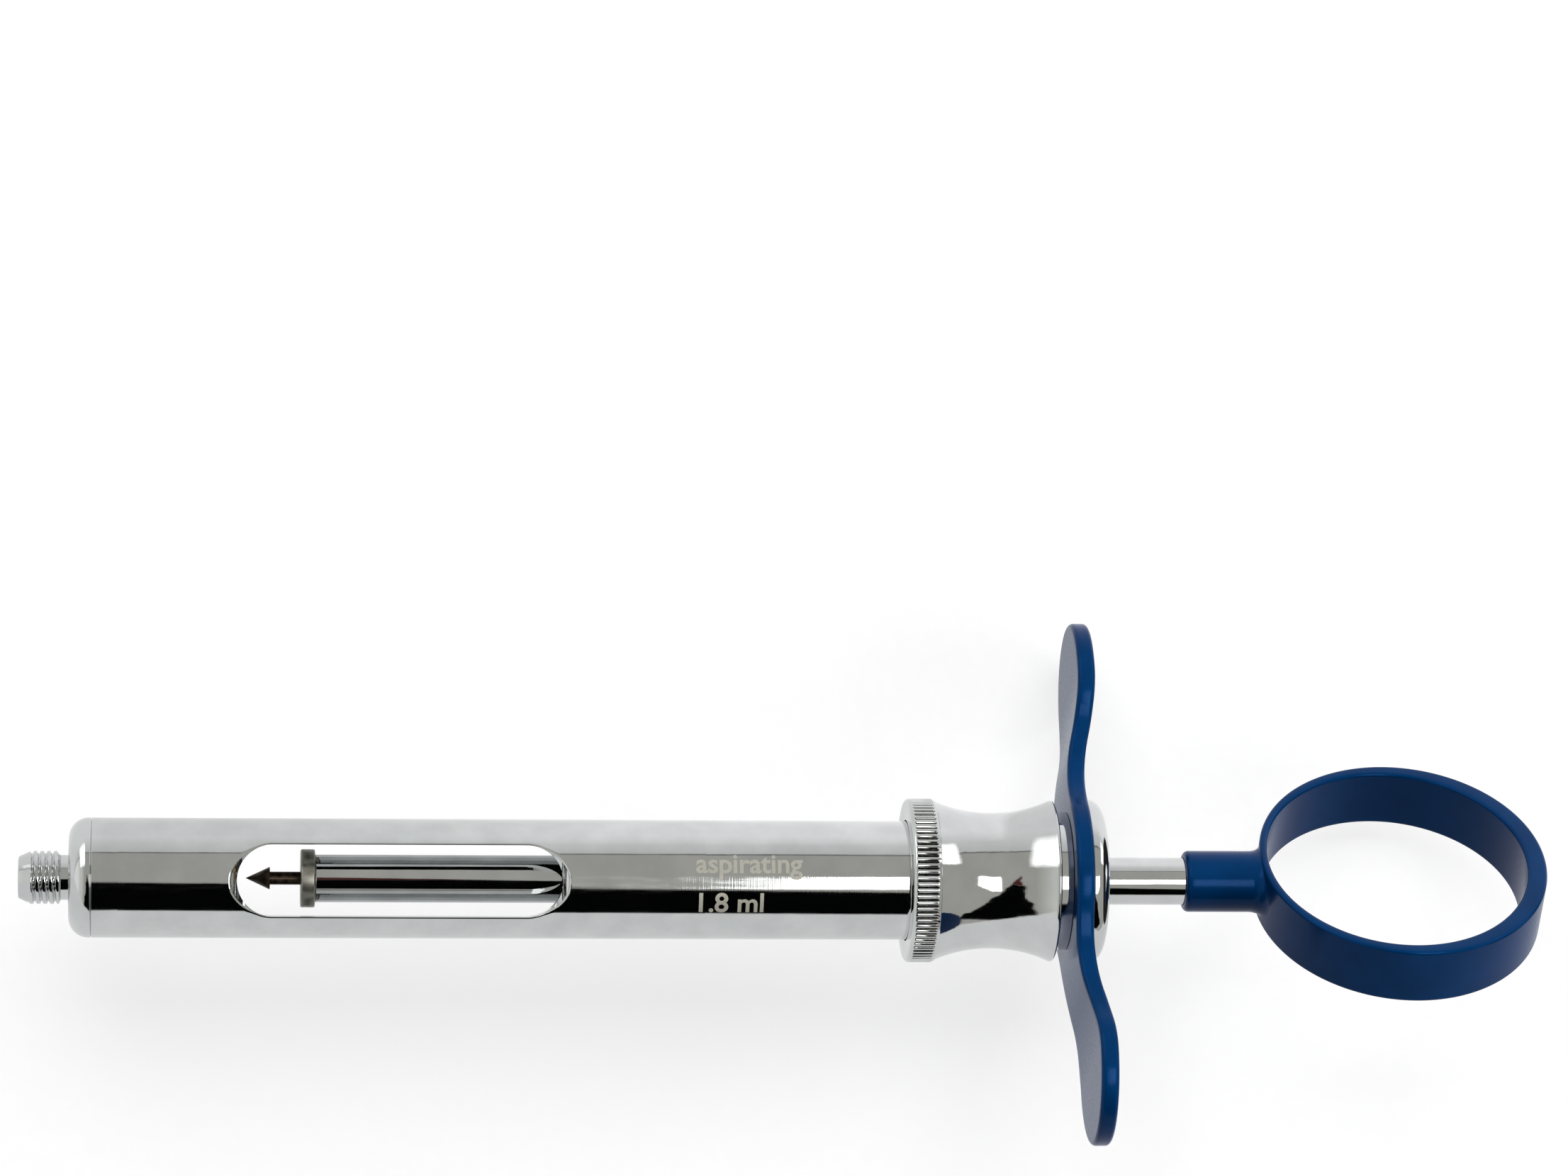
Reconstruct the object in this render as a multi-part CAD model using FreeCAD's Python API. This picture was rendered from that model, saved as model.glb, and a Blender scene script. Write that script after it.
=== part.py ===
import FreeCAD, Part
import math
import os

# Aspirating dental syringe for 1.8 ml cartridges, in millimetres, shown empty.
# +X runs along the syringe from the needle end to the thumb ring.
# +Z points up through the viewing window, and the loading window faces -Z.
# The origin is on the axis, at the shoulder where the needle thread ends.
# Every piece is turned about the X axis unless its own comment says otherwise.

# Fits
FIXED_GAP = 0.02  # radial gap of a screwed or pressed joint
RUNNING_GAP = 0.04  # radial gap of the plunger rod in its guide
SHOULDER_GAP = 0.05  # axial gap of the guide bearing, which is free to turn
SPARE = 2.0  # how far a cutting or trimming shape reaches past the piece

# Needle adaptor
THREAD_RADIUS = 2.94  # M6 x 0.75 over the crests
THREAD_LENGTH = 3.1
THREAD_LEAD = 0.2  # length of the chamfer at each end of the thread
TIP_X = -4.5
TIP_RADIUS = 2.3
TIP_CORNER_RADIUS = 0.25
THREAD_START_RADIUS = 2.78
NECK_RADIUS = 2.5
NEEDLE_BORE_RADIUS = 1.1
STUD_END_X = 4.9

# Nose cap
NOSE_FACE_X = 1.05
NOSE_CORNER_RADIUS = 2.2
SEAM_X = 3.5
SEAM_CHAMFER = 0.12
SPIGOT_END_X = 6.0
SEAT_RADIUS = 3.9  # recess that centres the cartridge's crimped cap
SEAT_X = 5.0

# Barrel tube and its two windows
BARREL_RADIUS = 6.67
BORE_RADIUS = 4.75
BARREL_END_X = 100.0
VIEW_START_X = 19.6
VIEW_END_X = 55.7
VIEW_HALF_WIDTH = 3.975
VIEW_BEVEL_WIDTH = 0.63
VIEW_BEVEL_DEPTH = 1.0
LOAD_START_X = 6.5
LOAD_END_X = 71.5
LOAD_HALF_WIDTH = 4.7
LOAD_CORNER_RADIUS = 1.5

# Waisted grip with its knurled front flange
GRIP_FACE_X = 94.55
FLANGE_RADIUS = 9.2
FLANGE_ROUND = 0.55
KNURL_START_X = 94.95
KNURL_END_X = 97.35
KNURL_COUNT = 80
KNURL_DEPTH = 0.24
KNURL_GROOVE_SHARE = 0.8  # of each ridge's pitch
KNURL_CUTTER_LIP = 0.3  # how far the cutter stands out of the flange
WAIST_X = 104.2
WAIST_RADIUS = 7.64
WAIST_ARC_RADIUS = 16.3
WAIST_START_X = 97.7
WAIST_END_X = 110.9
FLARE_ROUND = 0.3
GRIP_NECK_RADIUS = 7.8
CHAMBER_RADIUS = 5.3
CHAMBER_END_X = 110.3
ROD_HOLE_RADIUS = 2.95
SPIGOT_RADIUS = 6.0
GRIP_END_X = 115.85

# Finger bar
BAR_FRONT_X = 112.7
BAR_THICKNESS = 2.0
BAR_ANGLE = -25.4  # degrees about X from +Y
HUB_RADIUS = 10.3
PADDLE_RADIUS = 8.3
PADDLE_CENTRE = 22.9
BAR_NECK_HALF_WIDTH = 5.9
BAR_SWEEP = 1.7  # how far the paddles lie behind the hub
SWEEP_START = 8.0
SWEEP_END = 23.0
BAR_EDGE_ROUND = 0.5
SLAB_HALF_LENGTH = PADDLE_CENTRE + PADDLE_RADIUS + SPARE

# Rear cap, O-ring and spring
CAP_FRONT_X = BAR_FRONT_X + BAR_THICKNESS + FIXED_GAP
CAP_FRONT_CHAMFER = 0.15
CAP_REAR_X = 116.7
CAP_RADIUS = 9.25
CAP_CORNER_RADIUS = 1.6
CAP_POCKET_X = 115.95
GLAND_RADIUS = 4.4
GLAND_X = 113.9
ORING_SECTION_RADIUS = 0.83
ORING_X = 114.88
SPRING_WIRE_RADIUS = 0.35
SPRING_COIL_RADIUS = 4.5
SPRING_TURNS = 6
SPRING_SEAT_GAP = 0.01

# Guide bearing
GUIDE_NOSE_X = 82.5
GUIDE_NOSE_LAND = 5.0
GUIDE_NOSE_GAP = 0.03
GUIDE_NOSE_CHAMFER = 0.3
GUIDE_RELIEF_RADIUS = 3.1
GUIDE_TAIL_LAND_X = 104.5
GUIDE_FLANGE_RADIUS = 5.2
GUIDE_FLANGE_END_X = 101.6
GUIDE_TAIL_RADIUS = 3.7
GUIDE_TAIL_X = 110.0

# Plunger
ROD_RADIUS = 2.665
ROD_START_X = 28.3
ROD_END_X = 131.9
ROD_CHAMFER = 0.2
SOCKET_SPARE = 0.1  # how much deeper a blind socket is than the stud in it
PISTON_RADIUS = 3.24
PISTON_FRONT_X = 26.7
PISTON_SHANK_RADIUS = 1.5
PISTON_SHANK_LENGTH = 6.0
PISTON_CHAMFER = 0.15
HARPOON_TIP_X = 20.6
HARPOON_HEAD_LENGTH = 2.75
HARPOON_HEAD_RADIUS = 1.3
HARPOON_UNDERCUT = 0.25
HARPOON_SHANK_RADIUS = 0.73
HARPOON_TAIL_DEPTH = 4.2

# Thumb ring, its band lying in a plane through the X axis
RING_CENTRE_X = 151.1
RING_OUTER_RADIUS = 16.37
RING_INNER_RADIUS = 14.8
RING_INNER_SHIFT = -0.68  # makes the band thin at the stem and thick at the far side
RING_WIDTH = 7.3
RING_EDGE_ROUND = 0.4
RING_ANGLE = -52.3  # degrees about X from +Y
STEM_RADIUS = 3.45
STEM_START_X = 126.2
STEM_ROUND = 0.6
STEM_FLARE_X = 133.0
STEM_FLARE_HALF_WIDTH = 4.5
STEM_FLARE_DEPTH = 0.3  # how far the stem's flare runs into the band

X_AXIS = FreeCAD.Vector(1, 0, 0)
Z_AXIS = FreeCAD.Vector(0, 0, 1)
ORIGIN = FreeCAD.Vector(0, 0, 0)


def at(x, y=0.0, z=0.0):
    return FreeCAD.Vector(x, y, z)


def lathe(points):
    """Turn a closed outline of (x, radius) points about the X axis.

    A point with four values is an arc's end: (middle x, middle radius, x, radius).
    """
    edges = []
    start = at(points[0][0], points[0][1])
    first = start
    for point in list(points[1:]) + [points[0]]:
        end = at(point[-2], point[-1])
        if end.distanceToPoint(start) > 1e-6:
            if len(point) == 4:
                middle = at(point[0], point[1])
                edges.append(Part.Arc(start, middle, end).toShape())
            else:
                edges.append(Part.LineSegment(start, end).toShape())
        start = end
    if start.distanceToPoint(first) > 1e-6:
        raise ValueError("the outline is open")
    return Part.Face(Part.Wire(edges)).revolve(ORIGIN, X_AXIS, 360)


def rod(radius, x0, x1):
    return Part.makeCylinder(radius, x1 - x0, at(x0), X_AXIS)


def corner(x, radius, size, forward):
    """The quarter arc that rounds an outer corner at (x, radius).

    forward is True where the outline climbs a front face and turns onto the outside.
    """
    diagonal = size * (1 - math.sqrt(0.5))
    if forward:
        return (x + diagonal, radius - diagonal, x + size, radius)
    return (x - diagonal, radius - diagonal, x, radius - size)


def stadium(x0, x1, half_width, z):
    """A wire with straight sides along X and full round ends, at height z."""
    left = x0 + half_width
    right = x1 - half_width
    edges = [
        Part.LineSegment(at(left, half_width, z), at(right, half_width, z)),
        Part.Arc(at(right, half_width, z), at(x1, 0, z), at(right, -half_width, z)),
        Part.LineSegment(at(right, -half_width, z), at(left, -half_width, z)),
        Part.Arc(at(left, -half_width, z), at(x0, 0, z), at(left, half_width, z)),
    ]
    return Part.Wire([edge.toShape() for edge in edges])


def waist_radius(x):
    """Outside radius of the grip's concave waist, a circular arc."""
    drop = math.sqrt(WAIST_ARC_RADIUS**2 - (x - WAIST_X) ** 2)
    return WAIST_RADIUS + WAIST_ARC_RADIUS - drop


def needle_adaptor():
    """Threaded tip that takes the needle, screwed into the nose cap.

    The thread is a plain cylinder over its crests here.
    """
    stud = NECK_RADIUS - FIXED_GAP
    body = lathe(
        [
            (TIP_X, NEEDLE_BORE_RADIUS),
            (TIP_X, TIP_RADIUS - TIP_CORNER_RADIUS),
            corner(TIP_X, TIP_RADIUS, TIP_CORNER_RADIUS, True),
            (-THREAD_LENGTH - THREAD_LEAD, THREAD_START_RADIUS),
            (-THREAD_LENGTH, THREAD_RADIUS),
            (0.0, THREAD_RADIUS),
            (THREAD_LEAD, NECK_RADIUS),
            (NOSE_FACE_X, NECK_RADIUS),
            (NOSE_FACE_X, stud),
            (STUD_END_X, stud),
            (STUD_END_X, NEEDLE_BORE_RADIUS),
        ]
    )
    return body


def nose_cap():
    """Rounded end cap, with a spigot inside the barrel and a seat for the cartridge."""
    spigot = BORE_RADIUS - FIXED_GAP
    return lathe(
        [
            (NOSE_FACE_X, NECK_RADIUS),
            (NOSE_FACE_X, BARREL_RADIUS - NOSE_CORNER_RADIUS),
            corner(NOSE_FACE_X, BARREL_RADIUS, NOSE_CORNER_RADIUS, True),
            (SEAM_X - SEAM_CHAMFER, BARREL_RADIUS),
            (SEAM_X, BARREL_RADIUS - SEAM_CHAMFER),
            (SEAM_X, spigot),
            (SPIGOT_END_X, spigot),
            (SPIGOT_END_X, SEAT_RADIUS),
            (SEAT_X, SEAT_RADIUS),
            (SEAT_X, NECK_RADIUS),
        ]
    )


def barrel_tube():
    """Tube with a bevelled viewing window above and a long loading window below."""
    tube = lathe(
        [
            (SEAM_X, BORE_RADIUS),
            (SEAM_X, BARREL_RADIUS - SEAM_CHAMFER),
            (SEAM_X + SEAM_CHAMFER, BARREL_RADIUS),
            (BARREL_END_X, BARREL_RADIUS),
            (BARREL_END_X, BORE_RADIUS),
        ]
    )
    reach = BARREL_RADIUS + SPARE
    slot = Part.Face(stadium(VIEW_START_X, VIEW_END_X, VIEW_HALF_WIDTH, 0))
    view = slot.extrude(at(0, 0, reach))
    rise = reach - BARREL_RADIUS + VIEW_BEVEL_DEPTH
    spread = VIEW_BEVEL_WIDTH * rise / VIEW_BEVEL_DEPTH
    low = stadium(
        VIEW_START_X, VIEW_END_X, VIEW_HALF_WIDTH, BARREL_RADIUS - VIEW_BEVEL_DEPTH
    )
    high = stadium(
        VIEW_START_X - spread, VIEW_END_X + spread, VIEW_HALF_WIDTH + spread, reach
    )
    bevel = Part.makeLoft([low, high], True, True)
    load = Part.makeBox(
        LOAD_END_X - LOAD_START_X,
        2 * LOAD_HALF_WIDTH,
        reach,
        at(LOAD_START_X, -LOAD_HALF_WIDTH, -reach),
    )
    upright = [edge for edge in load.Edges if runs_along(edge, Z_AXIS)]
    load = load.makeFillet(LOAD_CORNER_RADIUS, upright)
    return tube.cut(view).cut(bevel).cut(load)


def is_straight(edge):
    return edge.Curve.TypeId == "Part::GeomLine"


def runs_along(edge, axis):
    """True for a straight edge parallel to the axis."""
    return is_straight(edge) and abs(edge.Curve.Direction.dot(axis)) > 0.999


def knurl_grooves():
    """V-shaped grooves, along X, all round the grip's front flange."""
    half = KNURL_GROOVE_SHARE * math.pi * FLANGE_RADIUS / KNURL_COUNT
    half_out = half * (1 + KNURL_CUTTER_LIP / KNURL_DEPTH)
    top = FLANGE_RADIUS + KNURL_CUTTER_LIP
    outline = Part.makePolygon(
        [
            at(KNURL_START_X, 0, FLANGE_RADIUS - KNURL_DEPTH),
            at(KNURL_START_X, half_out, top),
            at(KNURL_START_X, -half_out, top),
            at(KNURL_START_X, 0, FLANGE_RADIUS - KNURL_DEPTH),
        ]
    )
    groove = Part.Face(outline).extrude(at(KNURL_END_X - KNURL_START_X))
    grooves = []
    for index in range(KNURL_COUNT):
        turned = groove.copy()
        turned.rotate(ORIGIN, X_AXIS, index * 360.0 / KNURL_COUNT)
        grooves.append(turned)
    return Part.Compound(grooves)


def grip():
    """Waisted finger grip that the barrel screws into, with the spring's chamber."""
    socket = BARREL_RADIUS + FIXED_GAP
    waist_start = waist_radius(WAIST_START_X)
    waist_end = waist_radius(WAIST_END_X)
    flare_end_x = WAIST_END_X + FLARE_ROUND
    body = lathe(
        [
            (GRIP_FACE_X, socket),
            (GRIP_FACE_X, FLANGE_RADIUS - FLANGE_ROUND),
            corner(GRIP_FACE_X, FLANGE_RADIUS, FLANGE_ROUND, True),
            (KNURL_END_X, FLANGE_RADIUS),
            (WAIST_START_X, waist_start),
            (WAIST_X, WAIST_RADIUS, WAIST_END_X, waist_end),
            corner(flare_end_x, waist_end, FLARE_ROUND, False),
            (flare_end_x, GRIP_NECK_RADIUS),
            (BAR_FRONT_X, GRIP_NECK_RADIUS),
            (BAR_FRONT_X, SPIGOT_RADIUS),
            (GRIP_END_X, SPIGOT_RADIUS),
            (GRIP_END_X, GLAND_RADIUS),
            (GLAND_X, GLAND_RADIUS),
            (GLAND_X, ROD_HOLE_RADIUS),
            (CHAMBER_END_X, ROD_HOLE_RADIUS),
            (CHAMBER_END_X, CHAMBER_RADIUS),
            (BARREL_END_X, CHAMBER_RADIUS),
            (BARREL_END_X, socket),
        ]
    )
    return body.cut(knurl_grooves())


def guide_bearing():
    """Long bush that guides the plunger rod, with its nose inside the barrel."""
    bore = ROD_RADIUS + RUNNING_GAP
    nose = BORE_RADIUS - GUIDE_NOSE_GAP
    flange = BARREL_END_X + SHOULDER_GAP
    return lathe(
        [
            (GUIDE_NOSE_X, bore),
            (GUIDE_NOSE_X, nose - GUIDE_NOSE_CHAMFER),
            (GUIDE_NOSE_X + GUIDE_NOSE_CHAMFER, nose),
            (flange, nose),
            (flange, GUIDE_FLANGE_RADIUS),
            (GUIDE_FLANGE_END_X, GUIDE_FLANGE_RADIUS),
            (GUIDE_FLANGE_END_X, GUIDE_TAIL_RADIUS),
            (GUIDE_TAIL_X, GUIDE_TAIL_RADIUS),
            (GUIDE_TAIL_X, bore),
            (GUIDE_TAIL_LAND_X, bore),
            (GUIDE_TAIL_LAND_X, GUIDE_RELIEF_RADIUS),
            (GUIDE_NOSE_X + GUIDE_NOSE_LAND, GUIDE_RELIEF_RADIUS),
            (GUIDE_NOSE_X + GUIDE_NOSE_LAND, bore),
        ]
    )


def guide_spring():
    """Coil spring that presses the guide bearing forward against the barrel's end."""
    start = GUIDE_FLANGE_END_X + SHOULDER_GAP + SPRING_WIRE_RADIUS
    end = CHAMBER_END_X - SPRING_WIRE_RADIUS - SPRING_SEAT_GAP
    pitch = (end - start) / SPRING_TURNS
    coil = Part.makeHelix(pitch, end - start, SPRING_COIL_RADIUS)
    wire_end = Part.Circle(at(SPRING_COIL_RADIUS), at(0, 1, 0), SPRING_WIRE_RADIUS)
    section = Part.Wire(wire_end.toShape())
    spring = Part.Wire(coil.Edges).makePipeShell([section], True, True)
    spring.rotate(ORIGIN, at(0, 1, 0), 90)
    spring.translate(at(start))
    return spring


def bar_outline():
    """The finger bar's outline in the Y-Z plane: hub, two necks, two round paddles.

    Each neck is a concave arc that meets the hub circle and the paddle circle smoothly.
    """
    neck = neck_arc_radius()
    neck_z = BAR_NECK_HALF_WIDTH + neck
    neck_y = math.sqrt((HUB_RADIUS + neck) ** 2 - neck_z**2)

    def toward(y0, radius):
        """Point on a circle centred at (y0, 0), in line with the neck arc's centre."""
        distance = math.hypot(neck_y - y0, neck_z)
        return y0 + radius * (neck_y - y0) / distance, radius * neck_z / distance

    hub_y, hub_z = toward(0.0, HUB_RADIUS)
    pad_y, pad_z = toward(PADDLE_CENTRE, PADDLE_RADIUS)
    tip = PADDLE_CENTRE + PADDLE_RADIUS
    edges = []

    def arc(start, middle, end):
        points = [at(0, y, z) for y, z in (start, middle, end)]
        edges.append(Part.Arc(*points).toShape())

    middle = (neck_y, BAR_NECK_HALF_WIDTH)
    arc((-hub_y, hub_z), (0, HUB_RADIUS), (hub_y, hub_z))
    arc((hub_y, hub_z), middle, (pad_y, pad_z))
    arc((pad_y, pad_z), (tip, 0), (pad_y, -pad_z))
    arc((pad_y, -pad_z), (middle[0], -middle[1]), (hub_y, -hub_z))
    arc((hub_y, -hub_z), (0, -HUB_RADIUS), (-hub_y, -hub_z))
    arc((-hub_y, -hub_z), (-middle[0], -middle[1]), (-pad_y, -pad_z))
    arc((-pad_y, -pad_z), (-tip, 0), (-pad_y, pad_z))
    arc((-pad_y, pad_z), (-middle[0], middle[1]), (-hub_y, hub_z))
    return Part.Wire(edges)


def neck_arc_radius():
    """Radius of the concave arc that touches both circles at the neck's half width.

    Halving the interval closes in on the arc whose centre is right for both circles.
    """
    low = 0.5
    high = 100.0
    for _ in range(60):
        radius = (low + high) / 2
        z = BAR_NECK_HALF_WIDTH + radius
        from_hub = math.sqrt((HUB_RADIUS + radius) ** 2 - z**2)
        from_paddle = math.sqrt((PADDLE_RADIUS + radius) ** 2 - z**2)
        if from_hub + from_paddle > PADDLE_CENTRE:
            high = radius
        else:
            low = radius
    return radius


def bar_slab():
    """A slab of the bar's thickness whose wings step back behind the hub in two arcs."""
    front = bar_face(BAR_FRONT_X)
    rear = bar_face(BAR_FRONT_X + BAR_THICKNESS)
    wing_x = BAR_FRONT_X + BAR_SWEEP
    ends = [
        Part.LineSegment(at(wing_x, y), at(wing_x + BAR_THICKNESS, y)).toShape()
        for y in (-SLAB_HALF_LENGTH, SLAB_HALF_LENGTH)
    ]
    wire = Part.Wire(Part.__sortEdges__(front + ends + rear))
    width = HUB_RADIUS + SPARE
    slab = Part.Face(wire).extrude(at(0, 0, 2 * width))
    slab.translate(at(0, 0, -width))
    return slab


def bar_face(x):
    """Edges of one broad face, at the hub's height x: flat hub, two S-bends, flat wings."""
    half_run = (SWEEP_END - SWEEP_START) / 2
    half_step = BAR_SWEEP / 2
    bend = (half_run**2 + half_step**2) / (2 * half_step)
    half_angle = math.asin(half_run / bend) / 2
    quarter_y = bend * math.sin(half_angle)
    quarter_x = bend * (1 - math.cos(half_angle))
    bend_points = [
        (SWEEP_START, 0.0),
        (SWEEP_START + quarter_y, quarter_x),
        (SWEEP_START + half_run, half_step),
        (SWEEP_END - quarter_y, BAR_SWEEP - quarter_x),
        (SWEEP_END, BAR_SWEEP),
    ]
    edges = [Part.LineSegment(at(x, -SWEEP_START), at(x, SWEEP_START)).toShape()]
    for sign in (-1, 1):
        path = [at(x + step, sign * y) for y, step in bend_points]
        wing_end = at(x + BAR_SWEEP, sign * SLAB_HALF_LENGTH)
        edges.append(Part.Arc(*path[:3]).toShape())
        edges.append(Part.Arc(*path[2:]).toShape())
        edges.append(Part.LineSegment(path[-1], wing_end).toShape())
    return edges


def finger_bar():
    """Flat bar with two swept finger rests, clamped between the grip and the cap."""
    depth = BAR_THICKNESS + BAR_SWEEP
    prism = Part.Face(bar_outline()).extrude(at(depth + 2 * SPARE))
    prism.translate(at(BAR_FRONT_X - SPARE))
    bar = bar_slab().common(prism).removeSplitter()
    bar = bar.makeFillet(BAR_EDGE_ROUND, rim_edges(bar))
    hole_radius = SPIGOT_RADIUS + FIXED_GAP
    bar = bar.cut(rod(hole_radius, BAR_FRONT_X - SPARE, BAR_FRONT_X + depth + SPARE))
    bar.rotate(ORIGIN, X_AXIS, BAR_ANGLE)
    return bar


def rim_edges(bar):
    """The edges along the bar's outline, without its corners and its bend lines."""
    return [
        edge
        for edge in bar.Edges
        if not runs_along(edge, X_AXIS) and not runs_along(edge, Z_AXIS)
    ]


def rear_cap():
    """Round cap screwed onto the grip's spigot, which clamps the bar and the O-ring."""
    return lathe(
        [
            (CAP_FRONT_X, SPIGOT_RADIUS + FIXED_GAP),
            (CAP_FRONT_X, CAP_RADIUS - CAP_FRONT_CHAMFER),
            (CAP_FRONT_X + CAP_FRONT_CHAMFER, CAP_RADIUS),
            (CAP_REAR_X - CAP_CORNER_RADIUS, CAP_RADIUS),
            corner(CAP_REAR_X, CAP_RADIUS, CAP_CORNER_RADIUS, False),
            (CAP_REAR_X, ROD_HOLE_RADIUS),
            (CAP_POCKET_X, ROD_HOLE_RADIUS),
            (CAP_POCKET_X, SPIGOT_RADIUS + FIXED_GAP),
        ]
    )


def rod_oring():
    """O-ring in the grip's gland, which keeps the plunger where it is put."""
    ring_radius = ROD_RADIUS + RUNNING_GAP + ORING_SECTION_RADIUS
    return Part.makeTorus(ring_radius, ORING_SECTION_RADIUS, at(ORING_X), X_AXIS)


def plunger_rod():
    """Polished rod from the piston head to the thumb ring's stem."""
    body = lathe(
        [
            (ROD_START_X, 0),
            (ROD_START_X, ROD_RADIUS - ROD_CHAMFER),
            (ROD_START_X + ROD_CHAMFER, ROD_RADIUS),
            (ROD_END_X, ROD_RADIUS),
            (ROD_END_X, 0),
        ]
    )
    socket_radius = PISTON_SHANK_RADIUS + FIXED_GAP
    socket_end = ROD_START_X + PISTON_SHANK_LENGTH + SOCKET_SPARE
    return body.cut(rod(socket_radius, ROD_START_X - SPARE, socket_end))


def piston_head():
    """Disc that pushes the cartridge's stopper, screwed into the rod's front end."""
    socket_radius = HARPOON_SHANK_RADIUS + FIXED_GAP
    socket_end = PISTON_FRONT_X + HARPOON_TAIL_DEPTH + SOCKET_SPARE
    shank_end = ROD_START_X + PISTON_SHANK_LENGTH
    return lathe(
        [
            (PISTON_FRONT_X, socket_radius),
            (PISTON_FRONT_X, PISTON_RADIUS - PISTON_CHAMFER),
            (PISTON_FRONT_X + PISTON_CHAMFER, PISTON_RADIUS),
            (ROD_START_X - PISTON_CHAMFER, PISTON_RADIUS),
            (ROD_START_X, PISTON_RADIUS - PISTON_CHAMFER),
            (ROD_START_X, PISTON_SHANK_RADIUS),
            (shank_end, PISTON_SHANK_RADIUS),
            (shank_end, 0),
            (socket_end, 0),
            (socket_end, socket_radius),
        ]
    )


def harpoon():
    """Barbed point that hooks the cartridge's rubber stopper for aspirating."""
    base = HARPOON_TIP_X + HARPOON_HEAD_LENGTH
    return lathe(
        [
            (HARPOON_TIP_X, 0),
            (base, HARPOON_HEAD_RADIUS),
            (base - HARPOON_UNDERCUT, HARPOON_SHANK_RADIUS),
            (PISTON_FRONT_X + HARPOON_TAIL_DEPTH, HARPOON_SHANK_RADIUS),
            (PISTON_FRONT_X + HARPOON_TAIL_DEPTH, 0),
        ]
    )


def thumb_ring():
    """Ring with a tubular stem that takes the rod's end."""
    half = RING_WIDTH / 2
    band = Part.makeCylinder(RING_OUTER_RADIUS, RING_WIDTH, at(RING_CENTRE_X, 0, -half), Z_AXIS)
    hole_centre = RING_CENTRE_X + RING_INNER_SHIFT
    hole = Part.makeCylinder(
        RING_INNER_RADIUS,
        RING_WIDTH + 2 * SPARE,
        at(hole_centre, 0, -half - SPARE),
        Z_AXIS,
    )
    ring = band.cut(hole)
    rims = [edge for edge in ring.Edges if not is_straight(edge)]
    ring = ring.makeFillet(RING_EDGE_ROUND, rims)
    band_x = RING_CENTRE_X - RING_OUTER_RADIUS + RING_EDGE_ROUND
    stem = lathe(
        [
            (STEM_START_X, 0),
            (STEM_START_X, STEM_RADIUS - STEM_ROUND),
            corner(STEM_START_X, STEM_RADIUS, STEM_ROUND, True),
            (band_x, STEM_RADIUS),
            (band_x, 0),
        ]
    )
    round_end = Part.Circle(at(STEM_FLARE_X), X_AXIS, STEM_RADIUS).toShape()
    oval_x = band_x + STEM_FLARE_DEPTH
    oval = Part.Ellipse(
        at(oval_x, STEM_FLARE_HALF_WIDTH, 0), at(oval_x, 0, STEM_RADIUS), at(oval_x)
    ).toShape()
    flare = Part.makeLoft([Part.Wire(round_end), Part.Wire(oval)], True, True)
    socket = rod(ROD_RADIUS + FIXED_GAP, STEM_START_X - SPARE, ROD_END_X + SOCKET_SPARE)
    body = ring.fuse(stem).fuse(flare.cut(hole)).cut(socket)
    body.rotate(ORIGIN, X_AXIS, RING_ANGLE)
    return body


PIECES = [
    needle_adaptor,
    nose_cap,
    barrel_tube,
    grip,
    guide_bearing,
    guide_spring,
    finger_bar,
    rear_cap,
    rod_oring,
    plunger_rod,
    piston_head,
    harpoon,
    thumb_ring,
]


def main():
    os.makedirs("parts", exist_ok=True)
    for piece in PIECES:
        shape = piece()
        if not shape.isValid() or len(shape.Solids) != 1:
            raise ValueError(piece.__name__ + " is not one valid solid")
        shape.Solids[0].exportStep("parts/" + piece.__name__ + ".step")
        box = shape.BoundBox
        print(
            f"{piece.__name__:16s} {shape.Volume:9.1f} mm3  "
            f"x {box.XMin:7.2f} {box.XMax:7.2f}  y {box.YMin:7.2f} {box.YMax:7.2f}  "
            f"z {box.ZMin:7.2f} {box.ZMax:7.2f}"
        )


main()
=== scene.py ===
import math

import bmesh
import bpy
from mathutils import Matrix, Vector


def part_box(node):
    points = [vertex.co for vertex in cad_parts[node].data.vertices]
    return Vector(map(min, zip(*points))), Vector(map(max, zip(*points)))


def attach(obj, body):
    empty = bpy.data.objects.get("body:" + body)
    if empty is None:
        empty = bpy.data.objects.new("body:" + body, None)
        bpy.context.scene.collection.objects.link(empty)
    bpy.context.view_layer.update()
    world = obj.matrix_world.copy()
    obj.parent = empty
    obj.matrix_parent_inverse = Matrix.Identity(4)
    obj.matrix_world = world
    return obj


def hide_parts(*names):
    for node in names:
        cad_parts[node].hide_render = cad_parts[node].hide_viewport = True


# Looks of an aspirating dental syringe. Lengths are in metres and the frame is the CAD's:
# +X runs from the needle end to the thumb ring, +Z is up through the viewing window.

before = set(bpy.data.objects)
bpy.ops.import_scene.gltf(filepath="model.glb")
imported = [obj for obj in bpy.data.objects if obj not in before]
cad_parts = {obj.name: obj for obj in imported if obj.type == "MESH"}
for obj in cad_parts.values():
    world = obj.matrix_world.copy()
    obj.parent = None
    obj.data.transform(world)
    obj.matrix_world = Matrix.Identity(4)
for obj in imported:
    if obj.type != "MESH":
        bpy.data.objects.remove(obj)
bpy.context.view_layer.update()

MM = 0.001
MICRON = 0.001 * MM
TURN = 2 * math.pi


# -------- sizes

def across(node):
    """(first x, last x, radius) of a node that is turned about the X axis."""
    low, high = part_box(node)
    return low.x, high.x, high.y


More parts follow.
